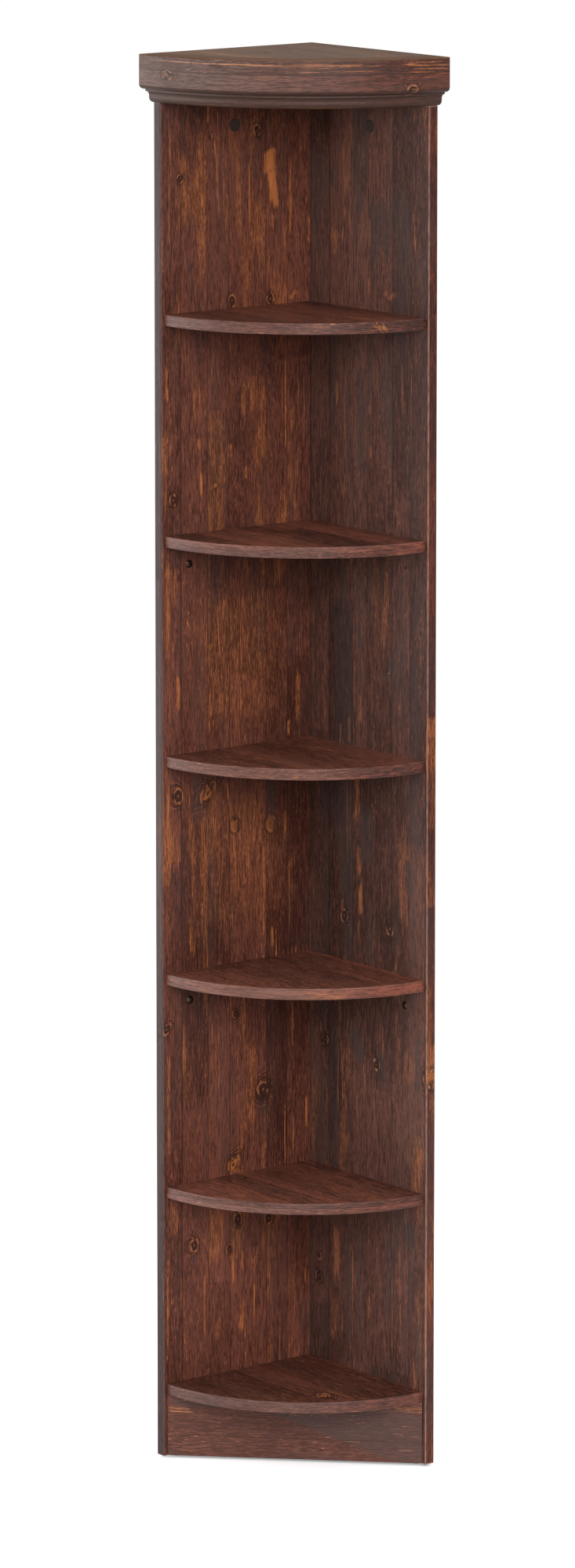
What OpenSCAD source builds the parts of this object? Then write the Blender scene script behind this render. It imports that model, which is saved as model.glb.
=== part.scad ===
// Corner end unit of solid pine: two tall panels butted into an L, six quarter-round
// shelves between them, a straight plinth across the foot and a milled, curved crown.
// The outer corner of the L points to +X +Y, and the open quarter faces -X -Y.

/* [Overall] */
// Height from the floor to the top of the crown
overall_h = 2200; // [2000:10:2400]
// Leg of the L, measured along the outer face of a panel
panel_leg = 308; // [280:1:360]
// Thickness of every board
board_t = 18; // [17:0.5:22]
// Radius of the rounded front arrises of the panels
arris_r = 3; // [1:0.5:6]

/* [Shelves] */
// How far the shelf tips stand behind the front edges of the panels
shelf_setback = 7; // [3:0.5:20]
// Rise from the bottom shelf to the next one
lower_pitch = 315; // [260:1:360]
// Rise from that shelf to the middle one
middle_pitch = 338; // [260:1:360]
// Radius of the rounded arrises of the curved shelf edge
shelf_round = 2; // [1:0.5:4]

/* [Plinth and feet] */
// Height of the plinth board
plinth_h = 97; // [70:1:130]
// Gap between the plinth's bevelled ends and the panels
plinth_end_gap = 0.6; // [0.2:0.1:1.5]
// Radius of the plinth's rounded bottom arris
plinth_round = 2; // [1:0.5:4]
// Length of the glue blocks behind the plinth, along the panel
block_leg = 34; // [25:1:45]
// Height of a glide under a panel
glide_h = 5; // [3:0.5:8]
// Diameter of a glide
glide_d = 16; // [12:0.5:16.5]
// Distance from a panel's front edge to the centre of its glide
glide_inset = 33; // [15:1:60]

/* [Crown] */
// How far the crown stands out past the front edges of the panels
crown_overhang = 27; // [26:0.5:30]
// Width of the curved crown moulding, seen from above
moulding_w = 58; // [54:1:80]
// Width of the rebates that hold the top and base boards
rebate_w = 10; // [6:0.5:14]
// Height of the plain vertical face of the moulding
face_h = 46; // [43:1:60]
// Width of the rounded nose under the face
nose_w = 11; // [8:0.5:12]
// Height of the rounded nose
nose_h = 7.7; // [5:0.1:10]
// Step in from the nose to the fillet
fillet_step = 1; // [0.5:0.1:2]
// Height of the fillet
fillet_h = 3.3; // [2:0.1:5]
// Radius of the cove
cove_r = 7; // [5:0.5:8]
// Height of the flat below the cove
quirk_h = 2; // [1:0.5:4]
// Radius of the quarter round at the foot of the moulding
ovolo_r = 9; // [6:0.5:9]
// Radius of the rounded top arris
crown_round = 2; // [0.5:0.5:4]

/* [Cam fittings] */
// Diameter of a cam drum
cam_d = 15; // [12:0.5:16]
// Height of a cam drum
cam_h = 12; // [11:0.25:12.5]
// Depth of the bore that a cam drum sits in
cam_bore_depth = 13.5; // [13:0.25:14]
// Distance from a shelf's edge to the centre of its cams
shelf_cam_edge = 34; // [24:1:44]
// Distance from a panel's top end to the centre of its crown cam
crown_cam_edge = 42; // [34:1:54]
// Distance from the inner corner to the crown cams
crown_cam_place = 147; // [100:1:190]
// Distance from the inner corner to the shelf cams nearer to it
cam_place_in = 80; // [70:1:110]
// Distance from a panel's front edge to the shelf cams nearer to it
cam_front = 85; // [75:1:100]
// Diameter of the thread of a cam bolt
bolt_thread_d = 6; // [5:0.5:7]
// Length of the thread of a cam bolt
bolt_thread_l = 11; // [9:0.5:12]
// Diameter of the bore that a cam bolt passes through
bolt_bore_d = 8; // [8:0.5:9]
// Diameter of a cover cap
cap_d = 20; // [18:0.5:22]
// Thickness of a cover cap's flange
cap_t = 1.2; // [0.8:0.1:1.6]

/* [Dowels and screws] */
// Diameter of a dowel
dowel_d = 8; // [6:0.5:8]
// Length of a dowel
dowel_l = 30; // [24:1:34]
// How far a dowel goes into the face of a board
dowel_seat = 10.5; // [9:0.5:12]
// Distance from the inner corner to the dowels nearer to it
dowel_place_in = 42; // [38:1:55]
// Distance from a panel's front edge to the dowels nearer to it
dowel_front = 50; // [45:1:60]
// Diameter of a corner screw
screw_d = 7; // [5:0.5:8]
// Length of a corner screw
screw_l = 50; // [40:1:60]
// Diameter of a corner screw's countersunk head
screw_head_d = 10; // [9:0.5:12]
// Number of corner screws
screw_count = 5; // [3:1:8]
// Distance from the ends of the panels to the first and last corner screws
screw_end = 60; // [40:1:90]

/* [Joining fittings] */
// Distance from a panel's front edge to its joining holes
join_front = 53.5; // [40:0.5:70]
// Drop from a shelf's top to the joining holes below it
join_drop = 47; // [36:1:90]
// Diameter of the head of a joining sleeve
join_head_d = 12; // [10:0.5:14]
// Depth that the heads are let into the panel
join_recess = 3; // [2:0.25:4]
// Diameter of the barrel of a joining sleeve
join_barrel_d = 8; // [7.5:0.5:9]
// Diameter of the threaded hole in a sleeve, and of the bare hole
join_hole_d = 5; // [4:0.5:6]

/* [Hidden] */
$fn = 64;

// Clearance of a piece in its bore or rebate, on each side
fit_gap = 0.1;
// How far a cutting shape runs out past the face it starts from
run_out = 1;

// Plan: the crown's square sets the frame, and the panels' outer faces lie on its back edges
crown_leg = panel_leg + crown_overhang;
corner = crown_leg / 2;
inner = corner - board_t;
inner_leg = panel_leg - board_t;
shelf_r = inner_leg - shelf_setback;
mid_board = inner + board_t / 2;

// Heights
crown_h = face_h + nose_h + fillet_h + cove_r + quirk_h + ovolo_r;
crown_z = overall_h - crown_h;
panel_h = crown_z - glide_h;
bottom_top = glide_h + plinth_h + board_t;
lower_top = bottom_top + lower_pitch;
middle_top = lower_top + middle_pitch;
upper_shelves = 3;
upper_pitch = (crown_z + board_t - middle_top) / (upper_shelves + 1);
shelf_tops = concat(
    [for (i = [upper_shelves:-1:1]) middle_top + i * upper_pitch],
    [middle_top, lower_top, bottom_top]
);
shelf_count = len(shelf_tops);

// Crown
rail_h = crown_h - 2 * board_t;
moulding_r = crown_leg - moulding_w;
crown_board_r = moulding_r + rebate_w;
profile_depth = nose_w + fillet_step + cove_r + ovolo_r;

// Places of the fittings, from the inner corner
cam_places = [cam_place_in, inner_leg - cam_front];
dowel_places = [dowel_place_in, inner_leg - dowel_front];
join_place = inner_leg - join_front;
glide_place = inner_leg - glide_inset;

// How far a blind bore goes past the end of what it holds
bore_end_gap = 0.5;

// A cam bolt from its ball end: head, neck, shank, collar and the thread's point
bolt_head_d = 6.6;
bolt_head_h = 3;
bolt_neck_d = 4.6;
bolt_neck_l = 4;
bolt_shank_d = 6;
bolt_collar_d = 7.4;
bolt_collar_h = 1.5;
bolt_point = 1;
// How far the bolt's ball end passes the middle of the cam, the cam's cavity and driving slots,
// and how deep its driven face lies in the bore
bolt_entry = 3;
cam_cavity_d = 7.4;
drive_slot = [8, 1.6, 2];
cam_sink = cam_bore_depth - cam_h - fit_gap;
cap_spigot_l = cam_sink - fit_gap;
cap_round = 0.5;

dowel_chamfer = 1;
plinth_dowel_pitch = 150;
// The corner screw's head, the flat at its rim, and its point
screw_head_h = 3;
screw_head_rim = 1;
screw_lead = 4;

// The shelves with joining holes below them, and the gap round a sleeve's head
join_tops = [shelf_tops[1], shelf_tops[3]];
join_head_gap = 0.5;
join_bore_end = 5;

// A glide's nail and soft lower edge, and the glue blocks' clearance from the floor side
nail_d = 2.4;
nail_l = 13;
glide_round = 1;
block_lift = 1;

// Steps in the curves of the turned and milled profiles, and in their small rounds
arc_steps = 10;
round_steps = 4;

wood = "saddlebrown";
dark_wood = "sienna";
end_wood = "rosybrown";
beech = "burlywood";
zinc = "silver";
cap_brown = "maroon";

// A point on the inner face of the back panel: s from the inner corner, z from the floor.
// Local +Z points into the panel.
module on_face(s, z) {
    translate([inner - s, inner, z]) rotate([-90, 0, 0]) children();
}

// The same thing on the side panel, as the mirror image across the diagonal of the L
module side_of() {
    mirror([1, -1, 0]) children();
}

// On both panels
module both_sides() {
    children();
    side_of() children();
}

// A place above or below an edge along the back panel: s from the inner corner, d from the edge
module beside_edge(s, d, z) {
    translate([inner - s, inner - d, z]) children();
}

// The joint line where the side panel's edge meets the back panel. Local +Z points into that edge.
module on_corner_joint(z) {
    translate([mid_board, inner, z]) rotate([90, 0, 0]) children();
}

// A bore that starts at local z = 0 and goes along +Z
module bore(d, depth) {
    translate([0, 0, -run_out]) cylinder(d = d, h = depth + run_out);
}

// The same bore, going the other way
module back_bore(d, depth) {
    mirror([0, 0, 1]) bore(d, depth);
}

// Both halves of the bore for a dowel that crosses local z = 0
module dowel_bore() {
    bore(dowel_d + 2 * fit_gap, dowel_seat + bore_end_gap);
    back_bore(dowel_d + 2 * fit_gap, dowel_l - dowel_seat + bore_end_gap);
}

// A dowel with chamfered ends that crosses local z = 0
module dowel() {
    r = dowel_d / 2;
    translate([0, 0, dowel_seat - dowel_l])
        rotate_extrude()
            polygon([
                [0, 0], [r - dowel_chamfer, 0], [r, dowel_chamfer],
                [r, dowel_l - dowel_chamfer], [r - dowel_chamfer, dowel_l], [0, dowel_l]
            ]);
}

// A cam bolt: its thread goes along +Z, and its ball end reaches the cam at z = -edge
module cam_bolt(edge) {
    neck_z = bolt_head_h - edge;
    shank_z = neck_z + bolt_neck_l;
    rotate_extrude()
        polygon([
            [0, bolt_thread_l], [bolt_thread_d / 2 - bolt_point, bolt_thread_l],
            [bolt_thread_d / 2, bolt_thread_l - bolt_point],
            [bolt_thread_d / 2, 0], [bolt_collar_d / 2, 0], [bolt_collar_d / 2, -bolt_collar_h],
            [bolt_shank_d / 2, -bolt_collar_h], [bolt_shank_d / 2, shank_z], [bolt_neck_d / 2, shank_z],
            [bolt_neck_d / 2, neck_z], [bolt_head_d / 2, neck_z], [bolt_head_d / 2, -edge], [0, -edge]
        ]);
}

// The pilot bore for the thread of a cam bolt
module thread_bore() {
    bore(bolt_thread_d + 2 * fit_gap, bolt_thread_l + bore_end_gap);
}

// A cam drum: its driven face lies at z = 0, and it goes along +Z.
// The bolt comes in along +Y, at the middle of the board.
module cam_drum() {
    bolt_z = board_t / 2 - cam_sink;
    difference() {
        cylinder(d = cam_d - 2 * fit_gap, h = cam_h);
        translate([0, -bolt_entry - fit_gap, bolt_z]) rotate([-90, 0, 0])
            cylinder(d = cam_cavity_d, h = cam_d);
        for (turn = [0, 90])
            rotate([0, 0, turn]) cube([drive_slot.x, drive_slot.y, 2 * drive_slot.z], center = true);
    }
}

// The plan of the back panel, with its two front arrises rounded
module panel_plan() {
    front = corner - panel_leg;
    translate([front + arris_r, inner]) square([panel_leg - arris_r, board_t]);
    translate([front, inner + arris_r]) square([panel_leg, board_t - 2 * arris_r]);
    for (y = [inner + arris_r, corner - arris_r])
        translate([front + arris_r, y]) circle(r = arris_r);
}

// What is bored into either panel, drawn for the back panel
module panel_bores() {
    for (top = shelf_tops, s = cam_places)
        on_face(s, top - board_t / 2) thread_bore();
    for (top = shelf_tops, s = dowel_places)
        on_face(s, top - board_t / 2) bore(dowel_d + 2 * fit_gap, dowel_seat + bore_end_gap);
    at_crown_cam() bore(cam_d, cam_bore_depth);
    at_crown_bolt() back_bore(bolt_bore_d, crown_cam_edge);
    at_crown_dowels() dowel_bore();
    at_glide(glide_place) bore(nail_d + 2 * fit_gap, nail_l + bore_end_gap);
}

// The hole of one joining sleeve: a recess for its head and a way through for its barrel
module sleeve_bore() {
    bore(join_head_d + 2 * join_head_gap, join_recess);
    bore(join_barrel_d + 2 * fit_gap, board_t + run_out);
}

// The plain hole that holds no sleeve
module bare_bore() {
    bore(join_hole_d, board_t + run_out);
}

// Heights of the corner screws, and of the dowels half way between them
function screw_z(i) = glide_h + screw_end + i * (panel_h - 2 * screw_end) / (screw_count - 1);
function corner_dowel_z(i) = (screw_z(i) + screw_z(i + 1)) / 2;

// A corner screw: the head lies in the back panel's outer face, and the point goes along +Z
module corner_screw(grow = 0) {
    rotate_extrude()
        polygon([
            [0, -board_t - grow], [screw_head_d / 2 + grow, -board_t - grow],
            [screw_head_d / 2 + grow, -board_t + screw_head_rim],
            [screw_d / 2 + grow, -board_t + screw_head_h + grow],
            [screw_d / 2 + grow, screw_l - board_t - screw_lead + grow],
            [screw_d / 4 + grow, screw_l - board_t + grow], [0, screw_l - board_t + grow]
        ]);
}

module corner_bores() {
    for (i = [0:screw_count - 1])
        on_corner_joint(screw_z(i)) corner_screw(fit_gap);
    for (i = [0:screw_count - 2])
        on_corner_joint(corner_dowel_z(i)) mirror([0, 0, 1]) dowel_bore();
}

module at_crown_cam() {
    on_face(crown_cam_place, crown_z - crown_cam_edge) children();
}

module at_crown_bolt() {
    translate([inner - crown_cam_place, mid_board, crown_z]) children();
}

module at_crown_dowels() {
    for (s = dowel_places)
        translate([inner - s, mid_board, crown_z]) children();
}

// The foot of a panel over a glide, s from the inner corner. Local +Z points up.
module at_glide(s) {
    translate([inner - s, mid_board, glide_h]) children();
}

// What a board of the side wall loses where it butts against the back one
module butt_cut(z, h) {
    translate([inner - run_out, inner, z]) cube([board_t + 2 * run_out, board_t + run_out, h]);
}

module back_panel() {
    color(wood)
        difference() {
            translate([0, 0, glide_h]) linear_extrude(panel_h) panel_plan();
            panel_bores();
            corner_bores();
            at_glide(-board_t / 2) bore(nail_d + 2 * fit_gap, nail_l + bore_end_gap);
            for (top = join_tops)
                on_face(join_place, top - join_drop) sleeve_bore();
        }
}

module side_panel() {
    color(wood)
        difference() {
            side_of() translate([0, 0, glide_h]) linear_extrude(panel_h) panel_plan();
            butt_cut(0, overall_h);
            side_of() panel_bores();
            corner_bores();
            side_of() on_face(join_place, join_tops[0] - join_drop) bare_bore();
            side_of() on_face(join_place, join_tops[1] - join_drop) sleeve_bore();
        }
}

// A quarter disc with the inner corner as its centre, and both arrises of the curve rounded
module shelf_blank() {
    translate([inner, inner, 0]) rotate([0, 0, 180]) rotate_extrude(angle = 90) {
        square([shelf_r - shelf_round, board_t]);
        translate([0, shelf_round]) square([shelf_r, board_t - 2 * shelf_round]);
        for (z = [shelf_round, board_t - shelf_round])
            translate([shelf_r - shelf_round, z]) circle(r = shelf_round);
    }
}

// Shelf 1 is the highest. The cams are let into the underside, where they don't show.
module shelf(number) {
    under = shelf_tops[number - 1] - board_t;
    color(wood)
        difference() {
            translate([0, 0, under]) shelf_blank();
            both_sides() {
                for (s = cam_places) {
                    beside_edge(s, shelf_cam_edge, under) bore(cam_d, cam_bore_depth);
                    on_face(s, under + board_t / 2) back_bore(bolt_bore_d, shelf_cam_edge);
                }
                for (s = dowel_places)
                    on_face(s, under + board_t / 2) dowel_bore();
            }
            if (number == shelf_count)
                at_plinth_dowels() dowel_bore();
        }
}

// The middle of the plinth's front face in plan, with local +X along it and +Y towards the corner
module on_plinth() {
    translate([inner - shelf_r / 2, inner - shelf_r / 2, 0]) rotate([0, 0, -45]) children();
}

module at_plinth_dowels() {
    on_plinth()
        for (side = [-1, 1])
            translate([side * plinth_dowel_pitch / 2, board_t / 2, glide_h + plinth_h]) children();
}

// The plinth stands on the chord between the shelf tips, and its ends are bevelled to the panels
module plinth_board() {
    half_chord = shelf_r / sqrt(2);
    color(dark_wood)
        difference() {
            intersection() {
                on_plinth() translate([half_chord, 0, glide_h]) rotate([90, 0, -90])
                    linear_extrude(2 * half_chord) {
                        translate([-board_t, 0]) square([board_t - plinth_round, plinth_h]);
                        translate([-board_t, plinth_round]) square([board_t, plinth_h - plinth_round]);
                        translate([-plinth_round, plinth_round]) circle(r = plinth_round);
                    }
                translate([inner - shelf_r, inner - shelf_r, 0])
                    cube([shelf_r - plinth_end_gap, shelf_r - plinth_end_gap, glide_h + plinth_h]);
            }
            at_plinth_dowels() dowel_bore();
        }
}

// A wedge-shaped glue block in each end of the space behind the plinth
module plinth_blocks() {
    back_end = shelf_r - board_t * sqrt(2);
    tip = board_t / 2;
    color(end_wood)
        both_sides()
            translate([inner - back_end, inner, glide_h + block_lift])
                linear_extrude(plinth_h - block_lift)
                    polygon([
                        [tip, 0], [tip + block_leg, 0],
                        [(tip + block_leg) / 2, -(tip + block_leg) / 2], [tip / 2, -tip / 2]
                    ]);
}

module plinth_dowels() {
    color(beech) at_plinth_dowels() dowel();
}

// One glide: a round foot with a soft lower edge, and the nail that holds it
module glide() {
    r = glide_d / 2;
    rotate_extrude() {
        square([r - glide_round, glide_h]);
        translate([0, glide_round]) square([r, glide_h - glide_round]);
        translate([r - glide_round, glide_round]) circle(r = glide_round);
        square([nail_d / 2, glide_h + nail_l]);
    }
}

module glides() {
    color(zinc) {
        both_sides() translate([0, 0, -glide_h]) at_glide(glide_place) glide();
        translate([0, 0, -glide_h]) at_glide(-board_t / 2) glide();
    }
}

// Points along a quarter of an ellipse, between two angles
function arc(cx, cy, rx, ry, from, to, steps) =
    [for (i = [0:steps]) let (a = from + (to - from) * i / steps) [cx + rx * cos(a), cy + ry * sin(a)]];

// The section of the crown moulding: from the foot up, an ovolo, a quirk, a cove, a fillet,
// a nose and the plain face, with a rebate for a board at the back of the foot and of the top.
// x is measured from the outer corner of the L, and y from the foot of the crown.
module moulding_section() {
    foot_x = crown_leg - profile_depth;
    cove_x = foot_x + ovolo_r + cove_r;
    cove_y = ovolo_r + quirk_h;
    fillet_y = cove_y + cove_r;
    nose_x = crown_leg - nose_w;
    nose_y = fillet_y + fillet_h + nose_h;
    polygon(concat(
        [[moulding_r, board_t], [crown_board_r, board_t], [crown_board_r, 0]],
        arc(foot_x, ovolo_r, ovolo_r, ovolo_r, -90, 0, arc_steps),
        arc(cove_x, cove_y, cove_r, cove_r, 180, 90, arc_steps),
        [[cove_x, fillet_y + fillet_h]],
        arc(nose_x, nose_y, nose_w, nose_h, -90, 0, arc_steps),
        arc(crown_leg - crown_round, crown_h - crown_round, crown_round, crown_round, 0, 90, round_steps),
        [[crown_board_r, crown_h]],
        [[crown_board_r, crown_h - board_t], [moulding_r, crown_h - board_t]]
    ));
}

// A quarter turn about the outer corner, in the open quarter of the L
module quarter_turn() {
    translate([corner, corner, crown_z]) rotate([0, 0, 180]) rotate_extrude(angle = 90) children();
}

module crown_moulding() {
    color(dark_wood)
        difference() {
            quarter_turn() moulding_section();
            both_sides() at_rail_dowel() dowel_bore();
        }
}

module crown_board(z) {
    translate([0, 0, z]) quarter_turn() square([crown_board_r - fit_gap, board_t]);
}

module crown_base_board() {
    color(wood)
        difference() {
            crown_board(0);
            both_sides() {
                at_crown_bolt() thread_bore();
                at_crown_dowels() dowel_bore();
            }
        }
}

module crown_top_board() {
    color(wood) crown_board(crown_h - board_t);
}

// Where a rail meets the inner curve of the moulding. Local +Z points into the rail.
module at_rail_dowel() {
    translate([corner - moulding_r, mid_board, crown_z + crown_h / 2]) rotate([0, 90, 0])
        translate([0, 0, dowel_l / 2 - dowel_seat]) children();
}

module at_rail_corner() {
    on_corner_joint(crown_z + crown_h / 2) mirror([0, 0, 1]) children();
}

// A rail along the back of the crown, with its end hollowed to the moulding's inner curve
module rail_blank() {
    intersection() {
        translate([corner - crown_leg, inner, crown_z + board_t]) cube([crown_leg, board_t, rail_h]);
        translate([corner, corner, crown_z]) cylinder(r = moulding_r, h = crown_h);
    }
}

module crown_back_rail() {
    color(wood)
        difference() {
            rail_blank();
            at_rail_dowel() dowel_bore();
            at_rail_corner() dowel_bore();
        }
}

module crown_side_rail() {
    color(wood)
        difference() {
            side_of() rail_blank();
            butt_cut(crown_z, crown_h);
            side_of() at_rail_dowel() dowel_bore();
            at_rail_corner() dowel_bore();
        }
}

module crown_dowels() {
    color(beech) {
        both_sides() {
            at_crown_dowels() dowel();
            at_rail_dowel() dowel();
        }
        at_rail_corner() dowel();
    }
}

module crown_cams() {
    color(zinc)
        both_sides()
            at_crown_cam() translate([0, 0, cam_sink]) rotate([0, 0, 180]) cam_drum();
}

module crown_bolts() {
    color(zinc) both_sides() at_crown_bolt() cam_bolt(crown_cam_edge);
}

// A flat cap over each crown cam, held by a spigot in the cam's bore
module cover_caps() {
    color(cap_brown)
        both_sides()
            at_crown_cam()
                rotate_extrude() {
                    translate([0, -cap_t]) square([cap_d / 2 - cap_round, cap_t]);
                    translate([0, cap_round - cap_t]) square([cap_d / 2, cap_t - cap_round]);
                    translate([cap_d / 2 - cap_round, cap_round - cap_t]) circle(r = cap_round);
                    translate([0, -cap_round]) square([cam_d / 2 - 2 * fit_gap, cap_round + cap_spigot_l]);
                }
}

module shelf_cams() {
    color(zinc)
        for (top = shelf_tops)
            both_sides()
                for (s = cam_places)
                    beside_edge(s, shelf_cam_edge, top - board_t + cam_sink) cam_drum();
}

module shelf_bolts() {
    color(zinc)
        for (top = shelf_tops)
            both_sides()
                for (s = cam_places)
                    on_face(s, top - board_t / 2) cam_bolt(shelf_cam_edge);
}

module shelf_dowels() {
    color(beech)
        for (top = shelf_tops)
            both_sides()
                for (s = dowel_places)
                    on_face(s, top - board_t / 2) dowel();
}

module corner_dowels() {
    color(beech)
        for (i = [0:screw_count - 2])
            on_corner_joint(corner_dowel_z(i)) mirror([0, 0, 1]) dowel();
}

module corner_screws() {
    color(zinc)
        for (i = [0:screw_count - 1])
            on_corner_joint(screw_z(i)) corner_screw();
}

// A joining sleeve: a domed head in its recess, and a barrel whose thread opens at the outer face
module joining_sleeve() {
    dome_r = join_head_d / 2;
    dome_h = join_recess - fit_gap;
    difference() {
        rotate_extrude()
            polygon(concat(
                arc(0, join_recess, dome_r, dome_h, 0, -90, arc_steps),
                [[0, board_t], [join_barrel_d / 2, board_t], [join_barrel_d / 2, join_recess]]
            ));
        translate([0, 0, join_recess + join_bore_end])
            cylinder(d = join_hole_d, h = board_t);
    }
}

module joining_sleeves() {
    color(zinc) {
        for (top = join_tops)
            on_face(join_place, top - join_drop) joining_sleeve();
        side_of() on_face(join_place, join_tops[1] - join_drop) joining_sleeve();
    }
}

back_panel();
side_panel();
shelf(1);  // shelf_1
shelf(2);  // shelf_2
shelf(3);  // shelf_3
shelf(4);  // shelf_4
shelf(5);  // shelf_5
shelf(6);  // shelf_6
plinth_board();
plinth_blocks();
plinth_dowels();
glides();
crown_moulding();
crown_base_board();
crown_top_board();
crown_back_rail();
crown_side_rail();
crown_dowels();
crown_cams();
crown_bolts();
cover_caps();
shelf_cams();
shelf_bolts();
shelf_dowels();
corner_dowels();
corner_screws();
joining_sleeves();
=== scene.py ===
# %% [markdown]
# # A corner end unit of stained pine
# Two tall panels meet in an L. Six quarter-round shelves stand between them, a straight plinth
# closes the foot, and a milled, curved crown closes the top. The construction comes ready from
# the frame, at its real size. This script gives every board its finish: the glued staves, the
# growth rings, the knots, and a dark stain that was rubbed through to amber in places.

# %% Load the frame
from math import cos, pi, radians, sin

import bmesh
import bpy
from mathutils import Matrix, Vector


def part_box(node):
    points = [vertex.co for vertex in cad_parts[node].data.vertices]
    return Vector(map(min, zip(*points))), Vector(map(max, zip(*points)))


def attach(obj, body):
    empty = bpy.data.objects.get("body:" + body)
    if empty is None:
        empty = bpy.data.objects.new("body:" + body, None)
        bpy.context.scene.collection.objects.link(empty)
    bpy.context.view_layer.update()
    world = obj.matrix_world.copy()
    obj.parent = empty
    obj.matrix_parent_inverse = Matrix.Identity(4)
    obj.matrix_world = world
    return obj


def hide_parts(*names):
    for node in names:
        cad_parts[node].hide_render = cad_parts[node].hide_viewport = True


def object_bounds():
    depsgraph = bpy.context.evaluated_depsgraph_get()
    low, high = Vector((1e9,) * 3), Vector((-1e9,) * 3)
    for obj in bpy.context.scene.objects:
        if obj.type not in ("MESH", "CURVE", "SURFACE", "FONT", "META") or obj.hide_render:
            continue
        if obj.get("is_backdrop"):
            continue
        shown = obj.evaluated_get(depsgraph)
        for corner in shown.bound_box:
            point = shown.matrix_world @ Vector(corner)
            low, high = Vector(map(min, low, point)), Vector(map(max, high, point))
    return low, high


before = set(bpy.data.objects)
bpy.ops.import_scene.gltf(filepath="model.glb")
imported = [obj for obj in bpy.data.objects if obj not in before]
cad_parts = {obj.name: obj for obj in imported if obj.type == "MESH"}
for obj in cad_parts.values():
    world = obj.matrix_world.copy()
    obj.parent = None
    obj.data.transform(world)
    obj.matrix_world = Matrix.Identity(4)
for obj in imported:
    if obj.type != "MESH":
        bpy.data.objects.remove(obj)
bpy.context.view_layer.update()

MM = 0.001

# %% [markdown]
# ## Sizes
# A cabinet maker takes the sizes of a new part from the parts that are already there, so that
# nothing has to be fitted later. The same is done here: the boxes of the framed boards give the
# corner of the L, the thickness of the boards and the radius of the shelves. The open quarter
# faces -X and -Y, and the outer corner of the L is at +X and +Y.

# %% Take the main sizes from the frame
back_low, back_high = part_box("back_panel")
OUTER = back_high.x
BOARD = back_high.y - back_low.y
INNER = OUTER - BOARD
MID_BOARD = INNER + BOARD / 2
SHELF_NODES = [f"shelf_{number}" for number in range(1, 7)]
SHELF_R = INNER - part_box("shelf_1")[0].x
CROWN_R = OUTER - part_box("crown_moulding")[0].x
CROWN_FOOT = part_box("crown_moulding")[0].z
CROWN_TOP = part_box("crown_moulding")[1].z
SHELF_CORNER = Vector((INNER, INNER, 0))
CROWN_CORNER = Vector((OUTER, OUTER, 0))
print(f"boards {BOARD / MM:.1f} mm, shelf radius {SHELF_R / MM:.1f} mm, crown radius {CROWN_R / MM:.1f} mm")

# %% [markdown]
# ## Wiring node trees
# Both the finishes and some of the shapes are node trees. Written one node at a time they are
# long and hard to read, so a small class keeps the tree and offers the few calls that a pattern
# needs. A value in a call may be a number or the output of another node.

# %% A short way to write nodes
MIX_SOCKETS = {"RGBA": (6, 7, 2), "VECTOR": (4, 5, 1)}


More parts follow.
